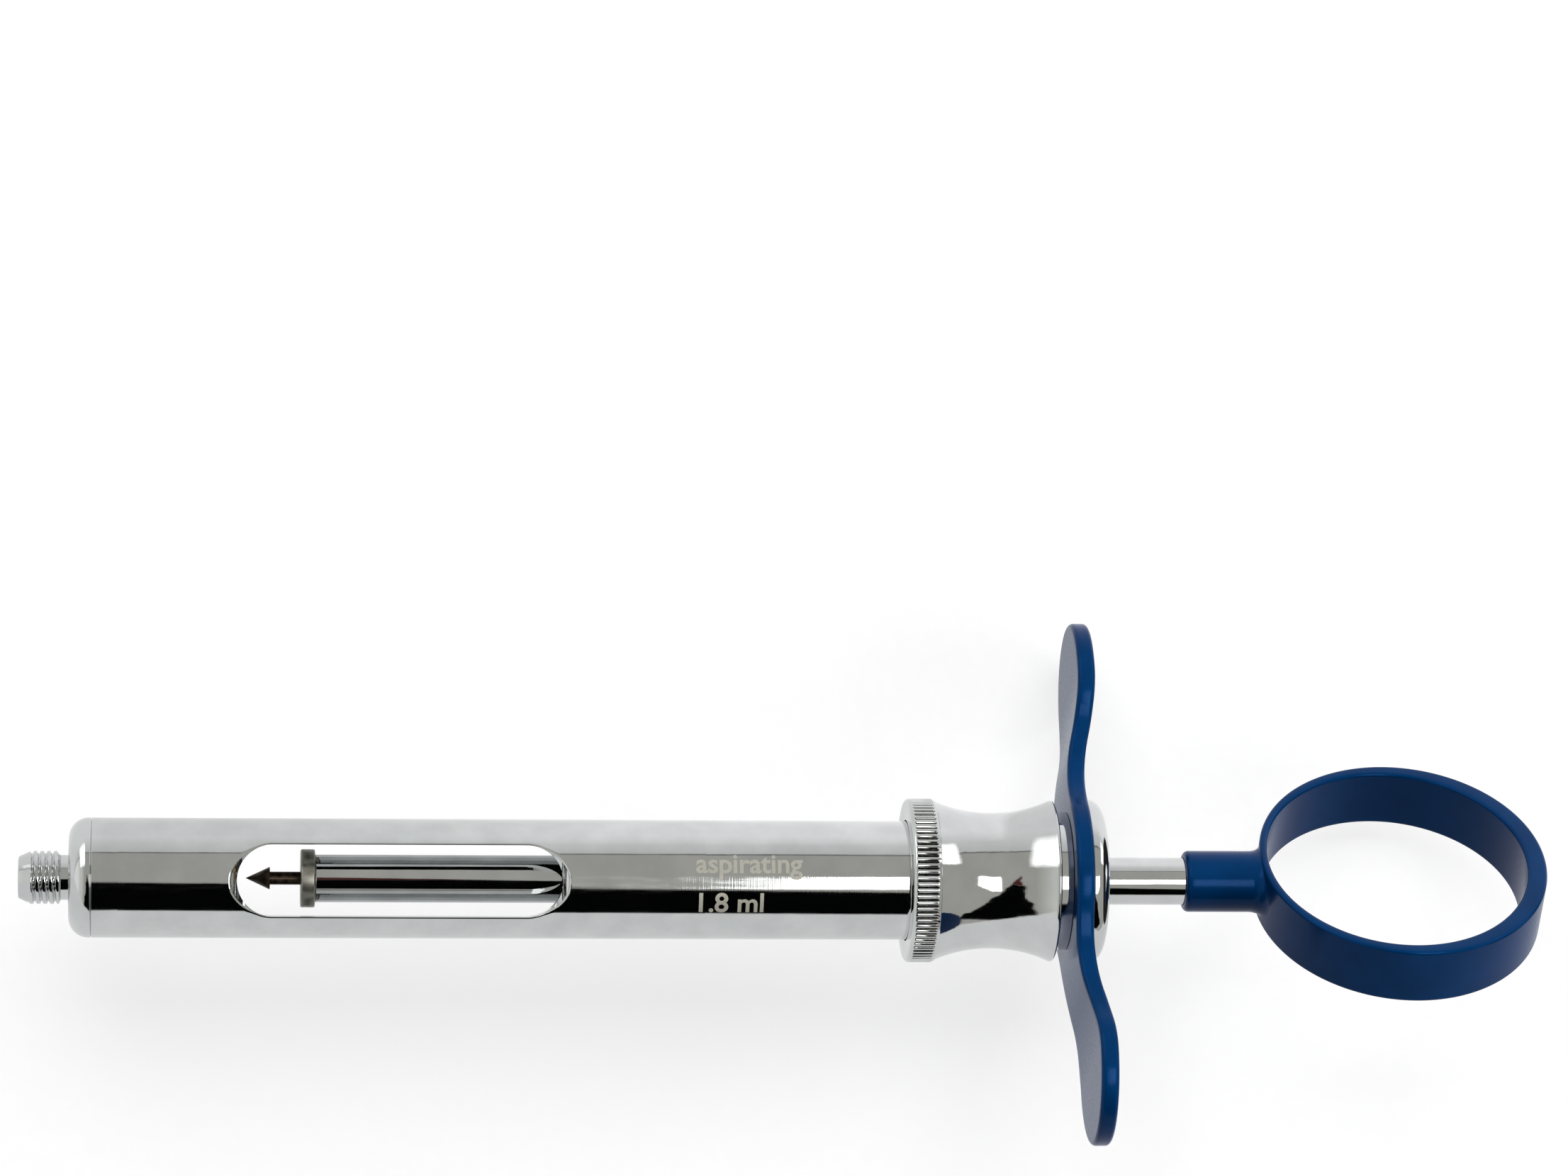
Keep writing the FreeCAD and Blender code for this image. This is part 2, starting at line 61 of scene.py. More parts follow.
TIP_X, STUD_X, THREAD_RADIUS = across("needle_adaptor")
NOSE_X, SPIGOT_X, BARREL_RADIUS = across("nose_cap")
SEAM_X, BARREL_END_X, _ = across("barrel_tube")
GRIP_X, GRIP_END_X, FLANGE_RADIUS = across("grip")
CAP_X, CAP_END_X, CAP_RADIUS = across("rear_cap")
ROD_X, ROD_END_X, ROD_RADIUS = across("plunger_rod")
PISTON_X, PISTON_END_X, PISTON_RADIUS = across("piston_head")
HARPOON_X, HARPOON_END_X, HARPOON_RADIUS = across("harpoon")
BAR_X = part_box("finger_bar")[0].x
STEM_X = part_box("thumb_ring")[0].x
RING_END_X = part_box("thumb_ring")[1].x

FIXED_GAP = 0.02 * MM  # between two pieces that are screwed together
EDGE = 0.08 * MM  # softening of a machined edge under the plating
SOCKET_ROOM = 0.1 * MM  # free depth behind a shank in its socket
SHAFT_EDGE = 0.15 * MM
SHARP = 35.0  # degrees between two faces that make a sharp edge
WELD = 0.0005 * MM
SLIVER = 0.0002 * MM

SMALL_SEGMENTS = 144
SHELL_SEGMENTS = 192
ROD_SEGMENTS = 160
HARPOON_SEGMENTS = 96
DRILL_SEGMENTS = 128

THREAD_PITCH = 0.75 * MM
THREAD_DEPTH = 0.3 * MM
THREAD_LENGTH = 3.1 * MM
THREAD_START_X = -THREAD_LENGTH - THREAD_PITCH
THREAD_CREST = 0.42  # share of the pitch that is the flat crest
THREAD_FLANK = 0.54  # share that the two flanks take up
THREAD_ROWS = 72
NECK_RADIUS = 2.5 * MM
NECK_X = 0.2 * MM
TIP_RADIUS = 2.3 * MM
NEEDLE_BORE_RADIUS = 1.1 * MM
NOSE_CORNER = 2.2 * MM
NOSE_STEPS = 14
SEAT_RADIUS = 3.9 * MM
SEAT_X = 5.0 * MM

BORE_RADIUS = 4.75 * MM
SEAM_CHAMFER = 0.12 * MM
SEAM_ROUND = 0.7 * SEAM_CHAMFER
VIEW_START_X = 19.6 * MM
VIEW_END_X = 55.7 * MM
VIEW_HALF_WIDTH = 3.975 * MM
VIEW_BEVEL_SLOPE = 0.63
VIEW_BEVEL_Z = BARREL_RADIUS - 1.0 * MM
RIM_ROUND = 0.27 * MM
RIM_STEPS = 5
SOLVE_STEPS = 40
SIDE_STEPS = 72
KEEL_STEPS = 20
WALL_STEPS = 2
TINY = 1e-9
PLAIN_ROWS_X = (12 * MM, 78 * MM, 88 * MM)
SEAM_ROW = 0.3 * MM
VIEW_ARC_STEPS = 30
LOAD_ARC_STEPS = 12
MIDDLE_ROWS = 12
MIDDLE_INSET = 4 * MM
ROW_GAP = 0.002 * MM
LOAD_START_X = 6.5 * MM
LOAD_END_X = 71.5 * MM
LOAD_HALF_WIDTH = 4.7 * MM
LOAD_CORNER = 1.5 * MM

KNURL_START_X = 94.95 * MM
KNURL_END_X = 97.35 * MM
KNURL_COUNT = 80
KNURL_DEPTH = 0.3 * MM
KNURL_STEPS = 10  # turned segments to each groove
KNURL_RUNOUT = 0.14 * MM
KNURL_MARGIN = 0.01 * MM
GROOVE_SHARE = 0.72  # width of a groove over the knurl's pitch
SHADED_DEPTHS = (0.42, 1.1)  # the part of a groove's depth that gets painted shade
FLANGE_ROUND = 0.4 * MM
WAIST_X = 104.2 * MM
WAIST_RADIUS = 7.64 * MM
WAIST_ARC = 16.3 * MM
WAIST_START_X = 97.7 * MM
WAIST_END_X = 110.9 * MM
WAIST_LEAD = 0.05 * MM
WAIST_RISE = 0.12 * MM
WAIST_ROWS = 48
FLARE_WIDTH = 0.3 * MM
FLARE_ROUND = 0.22 * MM
GRIP_NECK_ROUND = 0.1 * MM
GRIP_NECK_RADIUS = 7.8 * MM
SPIGOT_RADIUS = 6.0 * MM
GLAND_RADIUS = 4.4 * MM
GLAND_X = 113.9 * MM
ROD_HOLE_RADIUS = 2.95 * MM
CHAMBER_RADIUS = 5.3 * MM
CHAMBER_END_X = 110.3 * MM
CAP_CORNER = 1.6 * MM
CAP_STEPS = 12
CAP_POCKET_X = 115.95 * MM

BAR_THICKNESS = 2.0 * MM
BAR_ANGLE = math.radians(-25.4)
HUB_RADIUS = 10.3 * MM
PADDLE_RADIUS = 8.3 * MM
PADDLE_CENTRE = 22.9 * MM
BAR_NECK_HALF_WIDTH = 5.9 * MM
BAR_SWEEP = 1.7 * MM
SWEEP_START = 8.0 * MM
SWEEP_END = 23.0 * MM
BAR_ROUND = 0.5 * MM
BAR_EDGE_STEPS = 7
BAR_ACROSS_STEPS = 18
PADDLE_STEPS = 56
NECK_STEPS = 24
HUB_STEPS = 24
NECK_RADIUS_RANGE = (0.5 * MM, 100 * MM)
NECK_SOLVE_STEPS = 60
COATING_SHARP = 40.0
BAR_SHRINK = 0.005 * MM  # keeps the bar inside the box of the faceted CAD mesh

RING_CENTRE_X = 151.1 * MM
RING_RADIUS = RING_END_X - RING_CENTRE_X
RING_INNER_RADIUS = 14.8 * MM
RING_INNER_SHIFT = -0.68 * MM
RING_WIDTH = 7.3 * MM
RING_ROUND = 0.4 * MM
RING_ANGLE = math.radians(-52.3)
RING_SEGMENTS = 360
RING_ROUND_STEPS = 6
STEM_RADIUS = 3.45 * MM
STEM_FILLET = 1.25 * MM
STEM_ROUND = 0.6 * MM
STEM_BURY = 0.3 * MM  # how far the stem runs on into the band
STEM_SEGMENTS = 160
STEM_ROUND_STEPS = 8
STEM_FILLET_STEPS = 14
STEM_END_SHARES = (1.0, 0.75, 0.5, 0.25, 0.0)

PISTON_SHANK_RADIUS = 1.5 * MM
PISTON_EDGE = 0.18 * MM
HARPOON_HEAD = 2.75 * MM
HARPOON_UNDERCUT = 0.25 * MM
HARPOON_SHANK_RADIUS = 0.73 * MM
HARPOON_EDGE = 0.05 * MM

MARK_DEPTH = 0.012 * MM
MARK_FACE = 0.006 * MM  # how far a mark stands proud of the barrel
MARK_BOLD = 0.02  # growth of the letters, over their size
MARK_EXTRUDE = 0.5
MARK_WELD = 0.001 * MM
MARK_BANDS = 8
VOLUME_MARK = {"letter_size": 3.2 * MM, "start_x": 70.2 * MM, "degrees": -20.0}
TYPE_MARK = {"letter_size": 3.1 * MM, "start_x": 70.4 * MM, "degrees": 15.0}

NOISE_RANGE = (0.3, 0.7)  # where most of a noise's values lie
FROST = {"low": (0.42, 0.41, 0.34), "high": (0.54, 0.525, 0.445), "roughness": (0.45, 0.6)}
HAZE = {"low": (0.33, 0.325, 0.28), "high": (0.42, 0.41, 0.355), "roughness": (0.3, 0.42)}

FLOOR_HALF = 3.0
FLOOR_GAP = 0.2 * MM
FLOOR_GLOW = 0.68

# The room that the chrome mirrors. An edge is (where it lies, how soft it is), in degrees.
# Patches lie between edges of side and of lean, the two angles that room_angles() tells.
RIPPLE = {"scale": 5.0, "detail": 3.0, "reach": 3.0}
CREASE = {"scale": 3.5, "detail": 2.0, "reach": 6.0}
LEAN_RIPPLE = -0.2
CEILING = (0.44, 0.44, 0.405)
LOW_CEILING = (0.70, 0.71, 0.68)
LOW_CEILING_EDGE = (-28, 14)
NEEDLE_END = (0.95, 0.95, 0.94)
NEEDLE_END_EDGE = (-52, 16)
WALL_TOP = (0.62, 0.63, 0.62)
WALL_FOOT = (0.84, 0.85, 0.85)
WALL_FOOT_EDGE = (70, 36)
WALL_GLOW = (1.02, 1.02, 1.03)
WALL_GLOW_PATCH = {"side_from": (84, 24), "lean_from": (3.5, 4)}
WALL_EDGE = (53, 1.5)
CORNICE = (0.20, 0.20, 0.20)
CORNICE_PATCH = {"side_from": (50.5, 1.5), "side_to": WALL_EDGE}
WINDOW_LIGHT = (5.0, 5.0, 5.0)
WINDOW_PATCH = {"side_from": (-15, 1), "side_to": (9, 1), "lean_to": (23.5, 1)}
WINDOW_SLANTS = ((-0.03, 6.0, 0.5), (-1.1, 30, 2))
LAMP_LIGHT = (1.9, 1.9, 1.9)
REAR_LAMP_PATCH = {"side_from": (33, 3), "side_to": (70, 6), "lean_from": (37, 3)}
FRONT_LAMP_PATCH = {
    "side_from": (27, 6),
    "side_to": (72, 14),
    "lean_from": (-44, 5),
    "lean_to": (-17, 5),
}
BODY = (0.0012, 0.0014, 0.0014)
BODY_FOOT = (-68, 2)
BODY_SLANTS = ((0.56, -2.5, 2), (-0.17, -10.2, 2))
HAND = (0.075, 0.022, 0.02)
HAND_SLANT = (-2.2, 3, 3)
TABLE = (0.77, 0.78, 0.78)
TABLE_SLANT = (2.0, -127, 5)
DOORWAY = (0.02, 0.02, 0.02)
DOORWAY_PATCH = {"lean_from": (57, 2), "lean_to": (78, 2)}

AIM = (0.08, 0, 0)
BOX_ASPECT = 0.7
KEY_LIGHT = {"location": (0.08, 0.90, 1.0), "width": 1.4, "power": 21.0}
REAR_FILL = {"location": (1.0, -0.2, 0.35), "width": 0.9, "power": 8.0}
FRONT_FILL = {"location": (-0.9, -0.35, 0.3), "width": 0.9, "power": 2.5}

SENSOR_WIDTH = 36.0
LENS = 137.8
CAMERA_PLACE = (0.0135, 0.0328, 0.6711)
CAMERA_RIGHT = (0.9950, 0.0083, 0.0995)
CAMERA_FORWARD = (0.0995, 0.0, -0.9950)


# -------- mesh tools

def welded_mesh(name, verts, faces):
    """A closed mesh without doubled points or slivers, its faces all turned outwards."""
    mesh = bpy.data.meshes.new(name)
    mesh.from_pydata(verts, [], faces)
    bm = bmesh.new()
    bm.from_mesh(mesh)
    bmesh.ops.remove_doubles(bm, verts=bm.verts, dist=WELD)
    bmesh.ops.dissolve_degenerate(bm, edges=bm.edges, dist=SLIVER)
    bmesh.ops.recalc_face_normals(bm, faces=bm.faces)
    bm.to_mesh(mesh)
    bm.free()
    return mesh


def link_object(name, data):
    """A new object in the scene around the data."""
    thing = bpy.data.objects.new(name, data)
    bpy.context.scene.collection.objects.link(thing)
    return thing


def add_piece(name, verts, faces, body, node, material, sharp=SHARP):
    """A smooth closed mesh that rides on a body and stands for a CAD node.

    Edges that bend by more than sharp degrees stay sharp.
    """
    mesh = welded_mesh(name, verts, faces)
    mesh.shade_smooth()
    mesh.set_sharp_from_angle(angle=math.radians(sharp))
    mesh.materials.append(material)
    piece = link_object(name, mesh)
    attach(piece, body)
    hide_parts(node)
    return piece


def weigh_normals(piece):
    """Keeps broad flat faces flat right up to their small rounded edges."""
    normals = piece.modifiers.new("normals", "WEIGHTED_NORMAL")
    normals.keep_sharp = True


def softened(outline, steps=5):
    """A closed outline of (x, radius, rounding) corners, with each rounding made an arc."""
    points = []
    count = len(outline)
    for index, (x, r, rounding) in enumerate(outline):
        corner = Vector((x, r))
        before = Vector(outline[index - 1][:2]) - corner
        after = Vector(outline[(index + 1) % count][:2]) - corner
        if not rounding:
            points.append((x, r))
            continue
        half = before.angle(after) / 2
        bisector = (before.normalized() + after.normalized()).normalized()
        middle = corner + bisector * (rounding / math.sin(half))
        start = corner + before.normalized() * (rounding / math.tan(half)) - middle
        end = corner + after.normalized() * (rounding / math.tan(half)) - middle
        swing = start.angle(end)
        for step in range(steps + 1):
            share = step / steps
            spoke = start * math.sin((1 - share) * swing) + end * math.sin(share * swing)
            points.append(tuple(middle + spoke / math.sin(swing)))
    return points


def loop_faces(row, following, columns):
    """Quads between two closed rows of points, which are stored row by row."""
    faces = []
    for column in range(columns):
        beside = (column + 1) % columns
        faces.append(
            (
                row * columns + column,
                row * columns + beside,
                following * columns + beside,
                following * columns + column,
            )
        )
    return faces


def turned(points, segments, radius_at=None):
    """Vertices and faces of a closed (x, radius) outline turned about the X axis.

    radius_at(x, radius, angle) may cut the surface, as a knurl or a thread does.
    """
    verts = []
    faces = []
    for x, r in points:
        for index in range(segments):
            angle = TURN * index / segments
            cut = radius_at(x, r, angle) if radius_at else r
            verts.append((x, cut * math.cos(angle), cut * math.sin(angle)))
    rows = len(points)
    for row in range(rows):
        following = (row + 1) % rows
        if points[row][1] > 0 or points[following][1] > 0:
            faces += loop_faces(row, following, segments)
    return verts, faces


def grid_faces(rows, columns, first):
    """Quads of an open grid whose points are stored row by row from the point first."""
    faces = []
    for row in range(rows - 1):
        for column in range(columns - 1):
            corner = first + row * columns + column
            faces.append((corner, corner + 1, corner + columns + 1, corner + columns))
    return faces


def lerp(a, b, share):
    return a + (b - a) * share


def smoothstep(value):
    value = min(max(value, 0.0), 1.0)
    return value * value * (3 - 2 * value)


# -------- turned pieces

def thread_cut(x, r, angle):
    """Cuts the right-hand thread's narrow V groove below its broad worn crests."""
    if x > 0 or x < THREAD_START_X:
        return r
    phase = (x / THREAD_PITCH - angle / TURN) % 1.0
    flank = smoothstep((abs(phase - 0.5) * 2 - THREAD_CREST) / THREAD_FLANK)
    fade = smoothstep((x - THREAD_START_X) / THREAD_PITCH)
    return min(r, THREAD_RADIUS - THREAD_DEPTH * flank * fade)


def needle_adaptor(chrome):
    """Hollow threaded tip, tapered towards its end, on a neck and a stud."""
    stud = NECK_RADIUS - FIXED_GAP
    slope = (THREAD_RADIUS - TIP_RADIUS) / (-THREAD_LENGTH - TIP_X)
    outline = softened(
        [
            (TIP_X, NEEDLE_BORE_RADIUS, EDGE),
            (TIP_X, TIP_RADIUS, 3 * EDGE),
            (THREAD_START_X, TIP_RADIUS + slope * (THREAD_START_X - TIP_X), 0),
        ]
    )
    for step in range(1, THREAD_ROWS + 1):
        x = lerp(THREAD_START_X, 0.0, step / THREAD_ROWS)
        outline.append((x, min(THREAD_RADIUS, TIP_RADIUS + slope * (x - TIP_X))))
    outline += [
        (NECK_X, NECK_RADIUS),
        (NOSE_X, NECK_RADIUS),
        (NOSE_X, stud),
        (STUD_X, stud),
        (STUD_X, NEEDLE_BORE_RADIUS),
    ]
    verts, faces = turned(outline, SMALL_SEGMENTS, thread_cut)
    return add_piece(
        "threaded_tip", verts, faces, "holder", "needle_adaptor", chrome, 28
    )


def nose_cap(chrome):
    """Round-cornered front shell with a spigot in the barrel and a seat for the adaptor."""
    spigot = BORE_RADIUS - FIXED_GAP
    outline = [
        (NOSE_X, NECK_RADIUS, EDGE),
        (NOSE_X, BARREL_RADIUS, NOSE_CORNER),
        (SEAM_X, BARREL_RADIUS, SEAM_ROUND),
        (SEAM_X, spigot, 0),
        (SPIGOT_X, spigot, EDGE),
        (SPIGOT_X, SEAT_RADIUS, EDGE),
        (SEAT_X, SEAT_RADIUS, 0),
        (SEAT_X, NECK_RADIUS, 0),
    ]
    verts, faces = turned(softened(outline, NOSE_STEPS), SHELL_SEGMENTS)
    return add_piece("nose_shell", verts, faces, "holder", "nose_cap", chrome)


def waist_radius(x):
    """The grip's radius at x, on the hollow arc of its waist."""
    drop = math.sqrt(WAIST_ARC**2 - (x - WAIST_X) ** 2)
    return WAIST_RADIUS + WAIST_ARC - drop


def knurl_cut(x, r, angle):
    """Cuts straight V grooves into the grip's front flange, with short run-outs."""
    if r < FLANGE_RADIUS - KNURL_MARGIN or not KNURL_START_X < x < KNURL_END_X:
        return r
    phase = (angle * KNURL_COUNT / TURN) % 1.0
    groove = min(max(1 - abs(phase - 0.5) * 2 / GROOVE_SHARE, 0.0), 1.0)
    return r - KNURL_DEPTH * groove


def paint_groove_shade(piece, groove):
    """Gives the deeper part of each knurl groove a darker material of its own: painted shade."""
    shallow, deep = SHADED_DEPTHS
    piece.data.materials.append(groove)
    for face in piece.data.polygons:
        radius = math.hypot(face.center.y, face.center.z)
        if KNURL_START_X < face.center.x < KNURL_END_X:
            depth = (FLANGE_RADIUS - radius) / KNURL_DEPTH
            if shallow < depth < deep:
                face.material_index = 1


def grip(chrome, groove):
    """Knurled flange, hollow waist and rear neck, over the chamber and the gland."""
    socket = BARREL_RADIUS + FIXED_GAP
    flare_x = WAIST_END_X + FLARE_WIDTH
    outline = softened(
        [
            (GRIP_X, socket, EDGE),
            (GRIP_X, FLANGE_RADIUS, FLANGE_ROUND),
            (KNURL_START_X, FLANGE_RADIUS, 0),
            (KNURL_START_X + KNURL_RUNOUT, FLANGE_RADIUS, 0),
            (KNURL_END_X - KNURL_RUNOUT, FLANGE_RADIUS, 0),
            (KNURL_END_X, FLANGE_RADIUS, 0),
        ]
    )
    outline.append((WAIST_START_X - WAIST_LEAD, waist_radius(WAIST_START_X) + WAIST_RISE))
    for step in range(WAIST_ROWS + 1):
        x = lerp(WAIST_START_X, WAIST_END_X, step / WAIST_ROWS)
        outline.append((x, waist_radius(x)))
    end_radius = waist_radius(WAIST_END_X)
    outline += softened(
        [
            (WAIST_END_X, end_radius, 0),
            (flare_x, end_radius, FLARE_ROUND),
            (flare_x, GRIP_NECK_RADIUS, GRIP_NECK_ROUND),
            (BAR_X, GRIP_NECK_RADIUS, EDGE),
            (BAR_X, SPIGOT_RADIUS, 0),
            (GRIP_END_X, SPIGOT_RADIUS, 0),
            (GRIP_END_X, GLAND_RADIUS, 0),
            (GLAND_X, GLAND_RADIUS, 0),
            (GLAND_X, ROD_HOLE_RADIUS, 0),
            (CHAMBER_END_X, ROD_HOLE_RADIUS, 0),
            (CHAMBER_END_X, CHAMBER_RADIUS, 0),
            (BARREL_END_X, CHAMBER_RADIUS, 0),
            (BARREL_END_X, socket, 0),
        ]
    )[1:]
    verts, faces = turned(outline, KNURL_COUNT * KNURL_STEPS, knurl_cut)
    piece = add_piece("grip_body", verts, faces, "holder", "grip", chrome, 30)
    # painted shade: the deeper part of each knurl groove gets the darker groove material
    paint_groove_shade(piece, groove)
    return piece


def rear_cap(chrome):
    """Round-cornered cap on the grip's spigot, with the hole that the rod slides in."""
    outline = [
        (CAP_X, SPIGOT_RADIUS + FIXED_GAP, 0),
        (CAP_X, CAP_RADIUS, SHAFT_EDGE),
        (CAP_END_X, CAP_RADIUS, CAP_CORNER),
        (CAP_END_X, ROD_HOLE_RADIUS, EDGE),
        (CAP_POCKET_X, ROD_HOLE_RADIUS, 0),
        (CAP_POCKET_X, SPIGOT_RADIUS + FIXED_GAP, 0),
    ]
    verts, faces = turned(softened(outline, CAP_STEPS), SHELL_SEGMENTS)
    return add_piece("cap_shell", verts, faces, "holder", "rear_cap", chrome)


def plunger_rod(chrome):
    """Plain rod with a socket in its front end for the piston's shank."""
    socket = PISTON_SHANK_RADIUS + FIXED_GAP
    socket_x = PISTON_END_X + SOCKET_ROOM
    outline = [
        (ROD_X, socket, 0),
        (ROD_X, ROD_RADIUS, SHAFT_EDGE),
        (ROD_END_X, ROD_RADIUS, SHAFT_EDGE),
        (ROD_END_X, 0.0, 0),
        (socket_x, 0.0, 0),
        (socket_x, socket, 0),
    ]
    verts, faces = turned(softened(outline), ROD_SEGMENTS)
    return add_piece("rod_shaft", verts, faces, "plunger", "plunger_rod", chrome)


def piston_head(steel):
    """Disc against the rod's end, on a shank, with a socket for the harpoon."""
    socket = HARPOON_SHANK_RADIUS + FIXED_GAP
    socket_x = HARPOON_END_X + SOCKET_ROOM
    outline = [
        (PISTON_X, socket, 0),
        (PISTON_X, PISTON_RADIUS, PISTON_EDGE),
        (ROD_X, PISTON_RADIUS, PISTON_EDGE),
        (ROD_X, PISTON_SHANK_RADIUS, 0),
        (PISTON_END_X, PISTON_SHANK_RADIUS, 0),
        (PISTON_END_X, 0.0, 0),
        (socket_x, 0.0, 0),
        (socket_x, socket, 0),
    ]
    verts, faces = turned(softened(outline), SMALL_SEGMENTS)
    return add_piece("piston_disc", verts, faces, "plunger", "piston_head", steel)


def harpoon(steel):
    """Barbed point: a cone whose base hooks behind itself, on a thin shank."""
    base = HARPOON_X + HARPOON_HEAD
    neck_x = base - HARPOON_UNDERCUT
    outline = [
        (HARPOON_X, 0.0, 0),
        (base, HARPOON_RADIUS, HARPOON_EDGE),
        (neck_x, HARPOON_SHANK_RADIUS, HARPOON_EDGE),
        (HARPOON_END_X, HARPOON_SHANK_RADIUS, 0),
        (HARPOON_END_X, 0.0, 0),
    ]
    verts, faces = turned(softened(outline), HARPOON_SEGMENTS)
    return add_piece("barbed_point", verts, faces, "plunger", "harpoon", steel)


# -------- barrel

def window_half_width(x, spread):
    """Half width at x of the viewing window's outline, grown outwards by spread."""
    end_radius = VIEW_HALF_WIDTH + spread
    left = VIEW_START_X + VIEW_HALF_WIDTH
    right = VIEW_END_X - VIEW_HALF_WIDTH
    beyond = max(left - x, x - right, 0.0)
    if beyond >= end_radius:
        return 0.0
    return math.sqrt(end_radius**2 - beyond**2)


def view_edge(x):
    """(y, z) points at x down one side of the viewing window.

    They go over the rounded rim, down the end bevel to its foot, and on to the bore.
    """
    y = window_half_width(x, 0.0)
    spread = 0.0
    for _ in range(SOLVE_STEPS):
        z = math.sqrt(BARREL_RADIUS**2 - y**2)
        spread = VIEW_BEVEL_SLOPE * max(z - VIEW_BEVEL_Z, 0.0)
        y = lerp(y, window_half_width(x, spread), 0.5)
    beyond = max(VIEW_START_X - spread - x, x - VIEW_END_X - spread, 0.0)
    points = []
    for step in range(RIM_STEPS + 1):
        share = step / RIM_STEPS
        y = window_half_width(x, spread + RIM_ROUND * (1 - share) ** 2)
        if y == 0:
            share = max(1 - math.sqrt(beyond / RIM_ROUND), 0.0)
        points.append((y, math.sqrt(BARREL_RADIUS**2 - y**2) - RIM_ROUND * share**2))
    foot_y = window_half_width(x, 0.0)
    outside = max(VIEW_START_X - x, x - VIEW_END_X, 0.0)
    foot_z = min(VIEW_BEVEL_Z + outside / VIEW_BEVEL_SLOPE, points[-1][1])
    bore_z = math.sqrt(BORE_RADIUS**2 - foot_y**2)
    return points + [(foot_y, foot_z), (foot_y, bore_z)]


def load_half_width(x):
    """Half width at x of the loading window, which has small corner arcs."""
    inside = min(x - LOAD_START_X, LOAD_END_X - x)
    if inside >= LOAD_CORNER:
        return LOAD_HALF_WIDTH
    arc = math.sqrt(LOAD_CORNER**2 - (LOAD_CORNER - max(inside, 0.0)) ** 2)
    return LOAD_HALF_WIDTH - LOAD_CORNER + arc


def barrel_rows():
    """The x of every section: the ends, and close together round the windows' ends."""
    rows = [SEAM_X + SEAM_ROW, *PLAIN_ROWS_X, BARREL_END_X]
    bevel = VIEW_BEVEL_SLOPE * (BARREL_RADIUS - VIEW_BEVEL_Z)
    for reach in (0.0, bevel, bevel + RIM_ROUND):
        reach += VIEW_HALF_WIDTH
        for step in range(VIEW_ARC_STEPS + 1):
            inward = VIEW_HALF_WIDTH - reach * math.cos(TURN / 4 * step / VIEW_ARC_STEPS)
            rows += [VIEW_START_X + inward, VIEW_END_X - inward]
    for step in range(LOAD_ARC_STEPS + 1):
        inward = LOAD_CORNER * (1 - math.cos(TURN / 4 * step / LOAD_ARC_STEPS))
        rows += [LOAD_START_X + inward, LOAD_END_X - inward]
    first, last = VIEW_START_X + MIDDLE_INSET, VIEW_END_X - MIDDLE_INSET
    for step in range(1, MIDDLE_ROWS):
        rows.append(lerp(first, last, step / MIDDLE_ROWS))
    kept = []
    for x in sorted(rows):
        if not kept or x - kept[-1] > ROW_GAP:
            kept.append(x)
    return kept


def arc_points(radius, start, end, count):
    """(y, z) points on a circle between two angles measured from +Z."""
    points = []
    for step in range(count + 1):
        angle = lerp(start, end, step / count)
        points.append((radius * math.sin(angle), radius * math.cos(angle)))
    return points


def barrel_section(x, outer_radius):
    """Rows of points round one half of the tube at x, between its two windows."""
    edge = view_edge(x)
    width = load_half_width(x)

    def side(radius, start):
        end = TURN / 2 - math.asin(width / radius)
        return arc_points(radius, math.atan2(*start), end, SIDE_STEPS)

    outer = side(outer_radius, edge[0])
    inner = side(BORE_RADIUS, edge[-1])
    low, high = Vector(outer[-1]), Vector(inner[-1])
    wall = [lerp(low, high, step / WALL_STEPS) for step in range(WALL_STEPS + 1)]
    rows = {"outer": outer, "inner": inner, "top": edge, "bottom": wall}
    return {part: [(x, y, z) for y, z in row] for part, row in rows.items()}


def barrel_keel(x, outer_radius):
    """The outer and inner rows at x of the part below the loading window's end walls."""
    half = load_half_width(LOAD_START_X)
    arcs = []
    for radius in (outer_radius, BORE_RADIUS):
        start = TURN / 2 - math.asin(half / radius)
        arcs.append([(x, y, z) for y, z in arc_points(radius, start, TURN / 2, KEEL_STEPS)])
    return arcs


def barrel_half():
    """Points and quads of the half of the tube on the +Y side of its middle plane."""
    verts = []
    quads = []

    def add_strip(first, second):
        """Quads between two rows of points, leaving out what lies in the middle plane."""
        base = len(verts)
        verts.extend(first + second)
        count = len(first)
        for index in range(count - 1):
            corners = (index, index + 1, count + index + 1, count + index)
            if any(abs((first + second)[corner][1]) > TINY for corner in corners):
                quads.append(tuple(base + corner for corner in corners))

    stations = [(SEAM_X, BARREL_RADIUS - SEAM_CHAMFER), (SEAM_X + SEAM_CHAMFER, BARREL_RADIUS)]
    stations += [(x, BARREL_RADIUS) for x in barrel_rows()]
    sections = [barrel_section(x, radius) for x, radius in stations]
    for (x0, r0), (x1, r1), near, far in zip(stations, stations[1:], sections, sections[1:]):
        for part in ("outer", "inner", "top"):
            add_strip(near[part], far[part])
        if x0 >= LOAD_START_X - TINY and x1 <= LOAD_END_X + TINY:
            add_strip(near["bottom"], far["bottom"])
        else:
            for near_arc, far_arc in zip(barrel_keel(x0, r0), barrel_keel(x1, r1)):
                add_strip(near_arc, far_arc)
    for x in (LOAD_START_X, LOAD_END_X):
        add_strip(*barrel_keel(x, BARREL_RADIUS))
    for station, section in ((stations[0], sections[0]), (stations[-1], sections[-1])):
        add_strip(section["outer"], section["inner"])
        add_strip(*barrel_keel(*station))
    return verts, quads


def barrel_tube(chrome):
    """Tube with the viewing window above and the loading window below."""
    verts, quads = barrel_half()
    count = len(verts)
    verts += [(x, -y, z) for x, y, z in verts]
    quads += [tuple(count + corner for corner in quad) for quad in quads]
    return add_piece(
        "barrel_shell", verts, quads, "holder", "barrel_tube", chrome, 25
    )


# -------- etched marks

